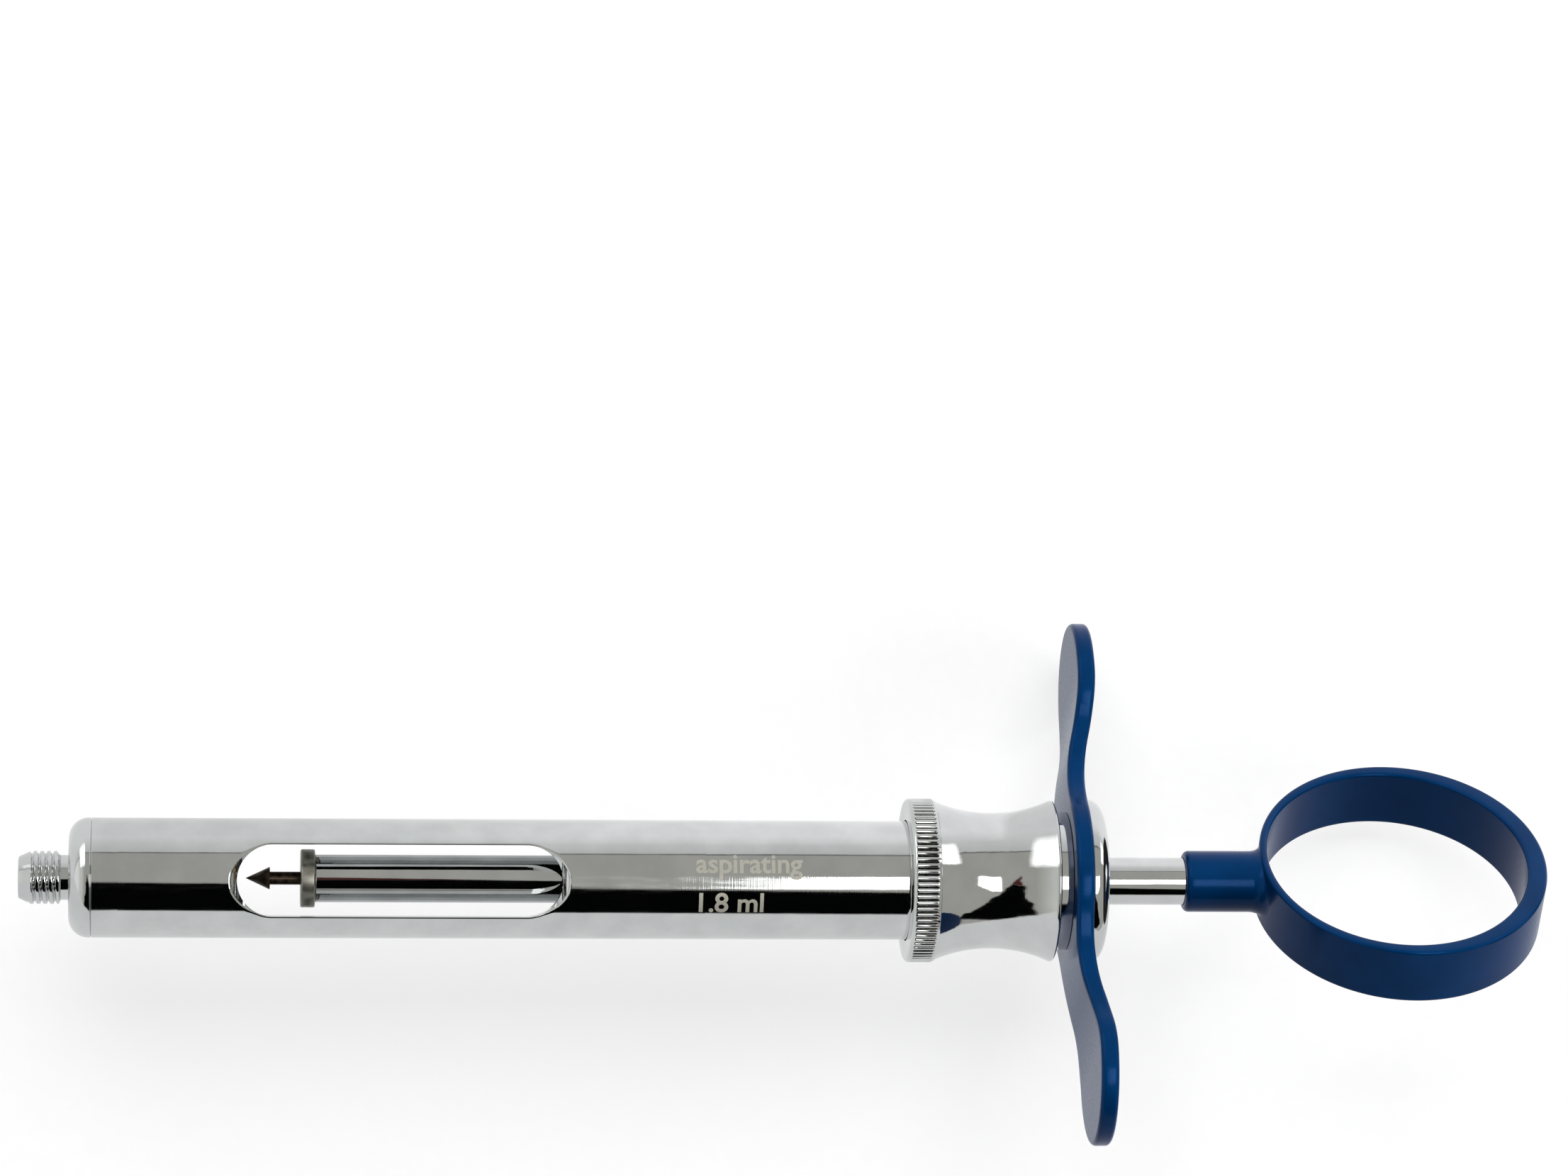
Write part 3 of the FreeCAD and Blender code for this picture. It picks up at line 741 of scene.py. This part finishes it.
def lettering(name, text, letter_size):
    """A mesh of thick letters that lie in the XY plane."""
    font = bpy.data.curves.new(name, "FONT")
    font.body = text
    font.size = letter_size
    font.offset = MARK_BOLD * letter_size
    font.extrude = MARK_EXTRUDE
    words = link_object(name, font)
    bpy.context.view_layer.update()
    mesh = bpy.data.meshes.new_from_object(words)
    bpy.data.objects.remove(words)
    return mesh


def bend_round_barrel(bm, start_x, degrees):
    """Wraps flat letters round the barrel, their middle line at an angle from +Z."""
    low = min(vert.co.y for vert in bm.verts)
    high = max(vert.co.y for vert in bm.verts)
    for step in range(1, MARK_BANDS):
        level = lerp(low, high, step / MARK_BANDS)
        parts = bm.verts[:] + bm.edges[:] + bm.faces[:]
        bmesh.ops.bisect_plane(bm, geom=parts, plane_co=(0, level, 0), plane_no=(0, 1, 0))
    middle = (low + high) / 2
    for vert in bm.verts:
        angle = math.radians(degrees) + (vert.co.y - middle) / BARREL_RADIUS
        radius = BARREL_RADIUS + (MARK_FACE if vert.co.z > 0 else MARK_FACE - MARK_DEPTH)
        vert.co = (start_x + vert.co.x, radius * math.sin(angle), radius * math.cos(angle))


def etched_mark(name, text, material, letter_size, start_x, degrees):
    """Thin raised lettering on the barrel, which stands for etched words."""
    mesh = lettering(name, text, letter_size)
    bm = bmesh.new()
    bm.from_mesh(mesh)
    bmesh.ops.remove_doubles(bm, verts=bm.verts, dist=MARK_WELD)
    bend_round_barrel(bm, start_x, degrees)
    bmesh.ops.recalc_face_normals(bm, faces=bm.faces)
    bm.to_mesh(mesh)
    bm.free()
    mesh.materials.clear()
    mesh.materials.append(material)
    mark = link_object(name, mesh)
    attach(mark, "holder")
    return mark


# -------- finger bar

def neck_arc():
    """(y, radius) of the concave arc that touches the hub and paddle circles."""
    low, high = NECK_RADIUS_RANGE
    for _ in range(NECK_SOLVE_STEPS):
        radius = (low + high) / 2
        z = BAR_NECK_HALF_WIDTH + radius
        from_hub = math.sqrt((HUB_RADIUS + radius) ** 2 - z**2)
        from_paddle = math.sqrt((PADDLE_RADIUS + radius) ** 2 - z**2)
        if from_hub + from_paddle > PADDLE_CENTRE:
            high = radius
        else:
            low = radius
    return from_hub, radius


def bar_profile(inset):
    """(y, half width) along the bar from its +Y tip to its -Y tip, moved inwards by inset."""
    neck_y, neck_radius = neck_arc()
    neck_z = BAR_NECK_HALF_WIDTH + neck_radius
    hub_angle = math.atan2(neck_z, neck_y)
    paddle_angle = math.atan2(neck_z, neck_y - PADDLE_CENTRE)
    half = []

    def add_arc(centre_y, centre_z, radius, start, end, steps, first=1):
        for step in range(first, steps + 1):
            angle = lerp(start, end, step / steps)
            half.append((centre_y + radius * math.cos(angle), centre_z + radius * math.sin(angle)))

    add_arc(PADDLE_CENTRE, 0.0, PADDLE_RADIUS - inset, 0.0, paddle_angle, PADDLE_STEPS, 0)
    opposite = TURN / 2  # the neck's arc has its centre outside the bar
    start, end = paddle_angle + opposite, hub_angle + opposite
    add_arc(neck_y, neck_z, neck_radius + inset, start, end, NECK_STEPS)
    add_arc(0.0, 0.0, HUB_RADIUS - inset, hub_angle, TURN / 4, HUB_STEPS)
    return half + [(-y, width) for y, width in reversed(half[:-1])]


def sweep_at(y):
    """How far the bar lies behind its hub at y: two arcs from the hub to the flat wing."""
    reach = min(max(abs(y) - SWEEP_START, 0.0), SWEEP_END - SWEEP_START)
    half_run = (SWEEP_END - SWEEP_START) / 2
    half_step = BAR_SWEEP / 2
    bend = (half_run**2 + half_step**2) / (2 * half_step)
    if reach <= half_run:
        return bend - math.sqrt(bend**2 - reach**2)
    return BAR_SWEEP - bend + math.sqrt(bend**2 - (2 * half_run - reach) ** 2)


def finger_bar(coating):
    """Rounded slab: layers of insets up one edge, and a grid across each broad face."""
    layers = []
    for step in range(BAR_EDGE_STEPS + 1):
        angle = TURN / 4 * step / BAR_EDGE_STEPS
        layers.append((BAR_ROUND * (1 - math.sin(angle)), BAR_ROUND * (1 - math.cos(angle))))
    layers += [(inset, BAR_THICKNESS - depth) for inset, depth in reversed(layers)]
    verts = []
    faces = []
    tilt = Matrix.Rotation(BAR_ANGLE, 3, "X")

    def put(y, z, depth):
        verts.append(tuple(tilt @ Vector((BAR_X + depth + sweep_at(y), y, z))))

    rims = [(bar_profile(BAR_SHRINK + inset), depth) for inset, depth in layers]
    length = len(rims[0][0])
    for side in (1, -1):
        first = len(verts)
        for profile, depth in rims:
            for y, width in profile:
                put(y, side * width, depth)
        faces += grid_faces(len(rims), length, first)
    for profile, depth in (rims[0], rims[-1]):
        first = len(verts)
        for y, width in profile:
            for step in range(BAR_ACROSS_STEPS + 1):
                put(y, lerp(-width, width, step / BAR_ACROSS_STEPS), depth)
        faces += grid_faces(length, BAR_ACROSS_STEPS + 1, first)
    bar = add_piece(
        "finger_rest", verts, faces, "holder", "finger_bar", coating, COATING_SHARP
    )
    cut_hole(bar, SPIGOT_RADIUS + FIXED_GAP, BAR_X - MM, BAR_X + BAR_THICKNESS + MM)
    weigh_normals(bar)
    return bar


def cut_hole(piece, radius, start_x, end_x):
    """Cuts a round hole along the X axis into the piece's mesh."""
    outline = [(start_x, 0.0), (start_x, radius), (end_x, radius), (end_x, 0.0)]
    drill = link_object("drill", welded_mesh("drill", *turned(outline, DRILL_SEGMENTS)))
    cut = piece.modifiers.new("hole", "BOOLEAN")
    cut.operation = "DIFFERENCE"
    cut.solver = "EXACT"
    cut.object = drill
    evaluated = piece.evaluated_get(bpy.context.evaluated_depsgraph_get())
    drilled = bpy.data.meshes.new_from_object(evaluated)
    piece.modifiers.remove(cut)
    piece.data = drilled
    drilled.set_sharp_from_angle(angle=math.radians(COATING_SHARP))
    bpy.data.objects.remove(drill)


# -------- thumb ring

def ring_band():
    """Band between two circles whose centres are a little apart, its four edges rounded."""
    half = RING_WIDTH / 2
    verts = []
    for index in range(RING_SEGMENTS):
        angle = TURN * index / RING_SEGMENTS
        ahead = RING_INNER_SHIFT * math.cos(angle)
        aside = RING_INNER_SHIFT * math.sin(angle)
        inner = ahead + math.sqrt(RING_INNER_RADIUS**2 - aside**2)
        corners = (
            (RING_RADIUS - RING_ROUND, half - RING_ROUND, 0.0),
            (inner + RING_ROUND, half - RING_ROUND, 0.25),
            (inner + RING_ROUND, RING_ROUND - half, 0.5),
            (RING_RADIUS - RING_ROUND, RING_ROUND - half, 0.75),
        )
        for corner_radius, corner_z, start in corners:
            for step in range(RING_ROUND_STEPS + 1):
                turn = TURN * (start + 0.25 * step / RING_ROUND_STEPS)
                radius = corner_radius + RING_ROUND * math.cos(turn)
                z = corner_z + RING_ROUND * math.sin(turn)
                x = RING_CENTRE_X + radius * math.cos(angle)
                verts.append((x, radius * math.sin(angle), z))
    columns = len(corners) * (RING_ROUND_STEPS + 1)
    faces = []
    for index in range(RING_SEGMENTS):
        faces += loop_faces(index, (index + 1) % RING_SEGMENTS, columns)
    return verts, faces


def ring_stem():
    """Tubular stem with a rounded front and a socket, its end flared onto the band."""
    socket = ROD_RADIUS + FIXED_GAP
    socket_x = ROD_END_X + SOCKET_ROOM
    flare_end = STEM_FILLET + STEM_BURY
    front = softened(
        [
            (socket_x, 0.0, 0),
            (socket_x, socket, 0),
            (STEM_X, socket, EDGE),
            (STEM_X, STEM_RADIUS, STEM_ROUND),
            (STEM_X + MM, STEM_RADIUS, 0),
        ],
        STEM_ROUND_STEPS,
    )
    verts, _ = turned(front, STEM_SEGMENTS)

    def add_row(y_radius, z_radius, back):
        """An oval row of points that stands back from the band's outside, or lies in it."""
        for index in range(STEM_SEGMENTS):
            angle = TURN * index / STEM_SEGMENTS
            y = y_radius * math.cos(angle)
            band_x = RING_CENTRE_X - math.sqrt(RING_RADIUS**2 - y**2)
            verts.append((band_x - back, y, z_radius * math.sin(angle)))

    for step in range(STEM_FILLET_STEPS + 1):
        turn = TURN / 4 * step / STEM_FILLET_STEPS
        spread = STEM_FILLET * (1 - math.cos(turn))
        add_row(STEM_RADIUS + spread, STEM_RADIUS, STEM_FILLET * (1 - math.sin(turn)))
    for share in STEM_END_SHARES:
        add_row(share * (STEM_RADIUS + flare_end), share * STEM_RADIUS, -STEM_BURY)
    rows = len(verts) // STEM_SEGMENTS
    faces = []
    for row in range(rows - 1):
        faces += loop_faces(row, row + 1, STEM_SEGMENTS)
    return verts, faces


def thumb_ring(coating):
    """The round band and its stem as one piece, turned about the syringe's axis."""
    band_verts, band_faces = ring_band()
    stem_verts, stem_faces = ring_stem()
    count = len(band_verts)
    faces = band_faces + [tuple(count + corner for corner in face) for face in stem_faces]
    tilt = Matrix.Rotation(RING_ANGLE, 3, "X")
    verts = [tuple(tilt @ Vector(vert)) for vert in band_verts + stem_verts]
    ring = add_piece(
        "thumb_loop", verts, faces, "plunger", "thumb_ring", coating, COATING_SHARP
    )
    weigh_normals(ring)
    return ring


# -------- materials

def new_material(name, metallic=1.0):
    """A node material, its node tree and its shader."""
    material = bpy.data.materials.new(name)
    material.use_nodes = True
    shader = material.node_tree.nodes["Principled BSDF"]
    shader.inputs["Metallic"].default_value = metallic
    return material, material.node_tree, shader


def add_node(tree, kind, **settings):
    node = tree.nodes.new(kind)
    for key, value in settings.items():
        setattr(node, key, value)
    return node


def object_noise(tree, scale, detail=2.0, stretch=(1, 1, 1)):
    """Noise over the object in real size: scale is features per metre, times stretch."""
    place = add_node(tree, "ShaderNodeTexCoord")
    mapping = add_node(tree, "ShaderNodeMapping")
    mapping.inputs["Scale"].default_value = [scale * factor for factor in stretch]
    noise = add_node(tree, "ShaderNodeTexNoise")
    noise.inputs["Scale"].default_value = 1.0
    noise.inputs["Detail"].default_value = detail
    tree.links.new(place.outputs["Object"], mapping.inputs["Vector"])
    tree.links.new(mapping.outputs["Vector"], noise.inputs["Vector"])
    return noise.outputs["Fac"]


def set_roughness(tree, shader, noise, low, high):
    """Roughness between low and high, led by a noise value."""
    node = add_node(tree, "ShaderNodeMapRange")
    tree.links.new(noise, node.inputs["Value"])
    for index, value in enumerate((*NOISE_RANGE, low, high), 1):
        node.inputs[index].default_value = value
    tree.links.new(node.outputs["Result"], shader.inputs["Roughness"])


def set_colour(tree, shader, noise, low, high):
    """A colour between low and high, led by a noise value."""
    ramp = add_node(tree, "ShaderNodeValToRGB")
    tree.links.new(noise, ramp.inputs["Fac"])
    for element, position, colour in zip(ramp.color_ramp.elements, NOISE_RANGE, (low, high)):
        element.position = position
        element.color = (*colour, 1)
    tree.links.new(ramp.outputs["Color"], shader.inputs["Base Color"])


def set_bumps(tree, shader, *layers):
    """Stacks bump layers of (height value, depth in metres) under the shader's normal."""
    normal = None
    for height, depth in layers:
        bump = add_node(tree, "ShaderNodeBump")
        bump.inputs["Strength"].default_value = 1.0
        bump.inputs["Distance"].default_value = depth
        tree.links.new(height, bump.inputs["Height"])
        if normal is not None:
            tree.links.new(normal, bump.inputs["Normal"])
        normal = bump.outputs["Normal"]
    tree.links.new(normal, shader.inputs["Normal"])


def chrome_plate():
    """Polished chrome with faint turning marks, handling scratches and a soft haze."""
    material, tree, shader = new_material("chrome_plate")
    haze = object_noise(tree, 260, detail=3.0)
    marks = object_noise(tree, 6500, stretch=(1, 0.02, 0.02))
    scratches = object_noise(tree, 2500, detail=3.0, stretch=(0.12, 1, 1))
    set_colour(tree, shader, haze, (0.60, 0.61, 0.61), (0.68, 0.69, 0.69))
    set_roughness(tree, shader, scratches, 0.03, 0.075)
    set_bumps(tree, shader, (marks, 1.2 * MICRON), (scratches, 2 * MICRON))
    return material


def grained(name, scale, detail, low, high, roughness, depth, metallic=1.0):
    """A material whose colour, roughness and height all follow one noise."""
    material, tree, shader = new_material(name, metallic)
    noise = object_noise(tree, scale, detail)
    set_colour(tree, shader, noise, low, high)
    set_roughness(tree, shader, noise, *roughness)
    set_bumps(tree, shader, (noise, depth))
    return material


def tool_marked(name, marks_scale, tone_scale, low, high, roughness):
    """A turned metal with fine circular tool marks."""
    material, tree, shader = new_material(name)
    marks = object_noise(tree, marks_scale, stretch=(1, 0.05, 0.05))
    set_colour(tree, shader, object_noise(tree, tone_scale), low, high)
    set_roughness(tree, shader, marks, *roughness)
    set_bumps(tree, shader, (marks, 6 * MICRON))
    return material


def groove_shade_chrome():
    """Painted shade for the bottoms of the knurl: dark, rough chrome that stands in for their dark
    reflections.
    """
    # dark colours that stand in for shade in the grooves: painted shade
    low, high = (0.045, 0.045, 0.042), (0.16, 0.16, 0.155)
    return grained("groove_shade_chrome", 2200, 3.0, low, high, (0.3, 0.5), 6 * MICRON)


def etched_chrome(name, low, high, roughness):
    """Chrome dulled to a pale frost by etching."""
    return grained(name, 9000, 2.0, low, high, roughness, 10 * MICRON, metallic=0.35)


def blue_coating():
    """Deep blue baked coating, slightly grained, under a thin clear gloss."""
    material, tree, shader = new_material("blue_coating", metallic=0.1)
    grain = object_noise(tree, 3600)
    cloud = object_noise(tree, 220, detail=3.0)
    set_colour(tree, shader, cloud, (0.0, 0.026, 0.098), (0.0, 0.035, 0.13))
    set_roughness(tree, shader, grain, 0.18, 0.27)
    shader.inputs["Specular IOR Level"].default_value = 0.2
    shader.inputs["Specular Tint"].default_value = (0.12, 0.35, 1.0, 1)
    shader.inputs["Coat Weight"].default_value = 0.05
    shader.inputs["Coat Roughness"].default_value = 0.10
    set_bumps(tree, shader, (grain, 5 * MICRON))
    return material


def satin_steel():
    """Turned stainless steel."""
    low, high = (0.26, 0.25, 0.22), (0.36, 0.35, 0.31)
    return tool_marked("satin_steel", 9000, 900, low, high, (0.28, 0.42))


def brass():
    """Plain turned brass."""
    low, high = (0.60, 0.42, 0.15), (0.72, 0.54, 0.24)
    return tool_marked("brass", 7000, 500, low, high, (0.2, 0.34))


def dark_steel():
    """Hardened steel with a dark brown oxide."""
    low, high = (0.018, 0.012, 0.008), (0.07, 0.05, 0.035)
    return grained("dark_steel", 1600, 3.0, low, high, (0.25, 0.45), 8 * MICRON, metallic=0.9)


def spring_steel():
    """Drawn wire, grey and lightly oiled."""
    low, high = (0.30, 0.31, 0.33), (0.48, 0.49, 0.51)
    return grained("spring_steel", 2200, 2.0, low, high, (0.22, 0.36), 4 * MICRON)


def nitrile():
    """Black rubber with a fine bloom."""
    low, high = (0.006, 0.006, 0.006), (0.02, 0.02, 0.02)
    return grained("nitrile", 3000, 3.0, low, high, (0.5, 0.7), 10 * MICRON, metallic=0.0)


def pale_board():
    """Pale board for the floor, lit from within like a light table."""
    low, high = (0.33, 0.33, 0.33), (0.36, 0.36, 0.36)
    board = grained("pale_board", 900, 2.0, low, high, (0.8, 0.9), 10 * MICRON, metallic=0.0)
    shader = board.node_tree.nodes["Principled BSDF"]
    shader.inputs["Emission Color"].default_value = (1, 1, 1, 1)
    shader.inputs["Emission Strength"].default_value = FLOOR_GLOW
    return board


def paint_cad_node(node, material):
    """Gives a CAD node that is still shown its procedural material."""
    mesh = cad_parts[node].data
    mesh.materials.clear()
    mesh.materials.append(material)
    mesh.set_sharp_from_angle(angle=math.radians(SHARP))


# -------- studio

def add_floor():
    """A pale sheet just under the finger bar. It lights nothing and the chrome skips it."""
    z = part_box("finger_bar")[0].z - FLOOR_GAP
    corners = [(-1, -1), (1, -1), (1, 1), (-1, 1)]
    mesh = bpy.data.meshes.new("floor")
    mesh.from_pydata(
        [(x * FLOOR_HALF, y * FLOOR_HALF, z) for x, y in corners], [], [(0, 1, 2, 3)]
    )
    mesh.materials.append(pale_board())
    floor = link_object("floor", mesh)
    floor.visible_diffuse = False
    floor.visible_glossy = False


def sums(tree, operation, *values, clamp=False):
    """One arithmetic node over numbers and other nodes' outputs."""
    node = add_node(tree, "ShaderNodeMath", operation=operation, use_clamp=clamp)
    for index, value in enumerate(values):
        if isinstance(value, (int, float)):
            node.inputs[index].default_value = value
        else:
            tree.links.new(value, node.inputs[index])
    return node.outputs[0]


def above(tree, value, edge):
    """1 where the value is past the edge, 0 before it."""
    where, soft = edge
    return sums(tree, "MULTIPLY_ADD", value, 1 / soft, 0.5 - where / soft, clamp=True)


def below(tree, value, edge):
    """1 where the value is before the edge, 0 past it."""
    where, soft = edge
    return sums(tree, "MULTIPLY_ADD", value, -1 / soft, 0.5 + where / soft, clamp=True)


def both(tree, *masks):
    """1 where all the masks are."""
    result = masks[0]
    for mask in masks[1:]:
        result = sums(tree, "MULTIPLY", result, mask)
    return result


def over(tree, under, colour, mask):
    """The colour laid over what is there, by the mask."""
    mix = add_node(tree, "ShaderNodeMix", data_type="RGBA")
    tree.links.new(mask, mix.inputs["Factor"])
    for socket, value in ((mix.inputs[6], under), (mix.inputs[7], colour)):
        if isinstance(value, tuple):
            socket.default_value = (*value, 1)
        else:
            tree.links.new(value, socket)
    return mix.outputs[2]


def room_noise(tree, place, scale, detail, reach):
    """Noise over directions, between -reach and reach degrees."""
    noise = add_node(tree, "ShaderNodeTexNoise")
    noise.inputs["Scale"].default_value = scale
    noise.inputs["Detail"].default_value = detail
    tree.links.new(place, noise.inputs["Vector"])
    return sums(tree, "MULTIPLY_ADD", noise.outputs["Fac"], 2 * reach, -reach)


def room_angles(tree, place):
    """(side, lean): how far a direction is from straight up towards +Y, and towards +X."""
    split = add_node(tree, "ShaderNodeSeparateXYZ")
    tree.links.new(place, split.inputs["Vector"])
    ripple = room_noise(tree, place, **RIPPLE)
    turn = sums(tree, "ARCTAN2", split.outputs["Y"], split.outputs["Z"])
    side = sums(tree, "ADD", sums(tree, "DEGREES", turn), ripple)
    tilt = sums(tree, "DEGREES", sums(tree, "ARCSINE", split.outputs["X"]))
    lean = sums(tree, "ADD", tilt, sums(tree, "MULTIPLY", ripple, LEAN_RIPPLE))
    return side, lean


def patch(tree, side, lean, side_from=None, side_to=None, lean_from=None, lean_to=None):
    """1 inside a patch of the room that lies between the edges given."""
    masks = []
    for value, start, end in ((side, side_from, side_to), (lean, lean_from, lean_to)):
        if start:
            masks.append(above(tree, value, start))
        if end:
            masks.append(below(tree, value, end))
    return both(tree, *masks)


def slanted(tree, side, lean, factor):
    """An angle whose edges run aslant through the room."""
    return sums(tree, "MULTIPLY_ADD", side, factor, lean)


def ceiling_and_wall(tree, side, lean):
    """Grey ceiling, paler towards -X, and a pale wall at +Y below a dark line."""
    room = over(tree, CEILING, LOW_CEILING, below(tree, lean, LOW_CEILING_EDGE))
    room = over(tree, room, NEEDLE_END, below(tree, lean, NEEDLE_END_EDGE))
    wall = over(tree, WALL_TOP, WALL_FOOT, above(tree, side, WALL_FOOT_EDGE))
    wall = over(tree, wall, WALL_GLOW, patch(tree, side, lean, **WALL_GLOW_PATCH))
    room = over(tree, room, wall, above(tree, side, WALL_EDGE))
    return over(tree, room, CORNICE, patch(tree, side, lean, **CORNICE_PATCH))


def add_window(tree, room, side, lean):
    """The bright window overhead, cut aslant at both ends."""
    (start_factor, *start), (end_factor, *end) = WINDOW_SLANTS
    window = both(
        tree,
        patch(tree, side, lean, **WINDOW_PATCH),
        above(tree, slanted(tree, side, lean, start_factor), start),
        below(tree, slanted(tree, side, lean, end_factor), end),
    )
    return over(tree, room, WINDOW_LIGHT, window)


def add_figure(tree, room, side, lean, crease):
    """Somebody in dark clothes bent over the table at -Y, with a hand held out."""

    def creased(factor):
        return sums(tree, "ADD", slanted(tree, side, lean, factor), crease)

    (front_factor, *front), (back_factor, *back) = BODY_SLANTS
    figure = both(
        tree,
        above(tree, side, BODY_FOOT),
        below(tree, creased(front_factor), front),
        above(tree, creased(back_factor), back),
    )
    hand_factor, *hand_edge = HAND_SLANT
    hand = creased(hand_factor)
    room = over(tree, room, HAND, both(tree, below(tree, hand, hand_edge), figure))
    return over(tree, room, BODY, both(tree, above(tree, hand, hand_edge), figure))


def add_world():
    """The room, told by direction. It is only mirrored: it casts no light on matt faces."""
    world = bpy.data.worlds.new("room")
    bpy.context.scene.world = world
    world.use_nodes = True
    tree = world.node_tree
    place = add_node(tree, "ShaderNodeTexCoord").outputs["Generated"]
    side, lean = room_angles(tree, place)
    room = ceiling_and_wall(tree, side, lean)
    room = add_window(tree, room, side, lean)
    room = add_figure(tree, room, side, lean, room_noise(tree, place, **CREASE))
    factor, *edge = TABLE_SLANT
    room = over(tree, room, TABLE, below(tree, slanted(tree, side, lean, factor), edge))
    room = over(tree, room, LAMP_LIGHT, patch(tree, side, lean, **REAR_LAMP_PATCH))
    room = over(tree, room, LAMP_LIGHT, patch(tree, side, lean, **FRONT_LAMP_PATCH))
    room = over(tree, room, DOORWAY, patch(tree, side, lean, **DOORWAY_PATCH))
    background = tree.nodes["Background"]
    tree.links.new(room, background.inputs["Color"])
    background.inputs["Strength"].default_value = 1.0
    world.cycles_visibility.diffuse = False


def add_softbox(name, location, width, power):
    """A broad soft light aimed at the middle of the object. The chrome mirrors only the room."""
    light = bpy.data.lights.new(name, "AREA")
    light.shape = "RECTANGLE"
    light.size = width
    light.size_y = BOX_ASPECT * width
    light.energy = power
    lamp = link_object(name, light)
    lamp.location = location
    aim = Vector(AIM) - lamp.location
    lamp.rotation_euler = aim.to_track_quat("-Z", "Y").to_euler()
    lamp.visible_glossy = False


def add_camera():
    """A long lens at the photograph's viewing angle, leaning a little towards +X."""
    data = bpy.data.cameras.new("camera")
    data.sensor_width = SENSOR_WIDTH
    data.lens = LENS
    camera = link_object("camera", data)
    right = Vector(CAMERA_RIGHT).normalized()
    forward = Vector(CAMERA_FORWARD).normalized()
    up = right.cross(forward)
    right = forward.cross(up)
    turn = Matrix((right, up, -forward)).transposed().to_4x4()
    camera.matrix_world = Matrix.Translation(CAMERA_PLACE) @ turn
    bpy.context.scene.camera = camera


# -------- build


def add_pieces():
    chrome = chrome_plate()
    coating = blue_coating()
    needle_adaptor(chrome)
    nose_cap(chrome)
    barrel_tube(chrome)
    grip(chrome, groove_shade_chrome())
    rear_cap(chrome)
    plunger_rod(chrome)
    piston_head(satin_steel())
    harpoon(dark_steel())
    finger_bar(coating)
    thumb_ring(coating)
    frost = etched_chrome("etched_frost", **FROST)
    haze = etched_chrome("etched_haze", **HAZE)
    etched_mark("volume_mark", "1.8 ml", frost, **VOLUME_MARK)
    etched_mark("type_mark", "aspirating", haze, **TYPE_MARK)


def paint_hidden_pieces():
    paint_cad_node("guide_bearing", brass())
    paint_cad_node("guide_spring", spring_steel())
    paint_cad_node("rod_oring", nitrile())


def add_studio():
    add_floor()
    add_world()
    add_softbox("key_light", **KEY_LIGHT)
    add_softbox("rear_fill", **REAR_FILL)
    add_softbox("front_fill", **FRONT_FILL)
    add_camera()
    bpy.context.scene.view_settings.view_transform = "Standard"


add_pieces()
paint_hidden_pieces()
add_studio()
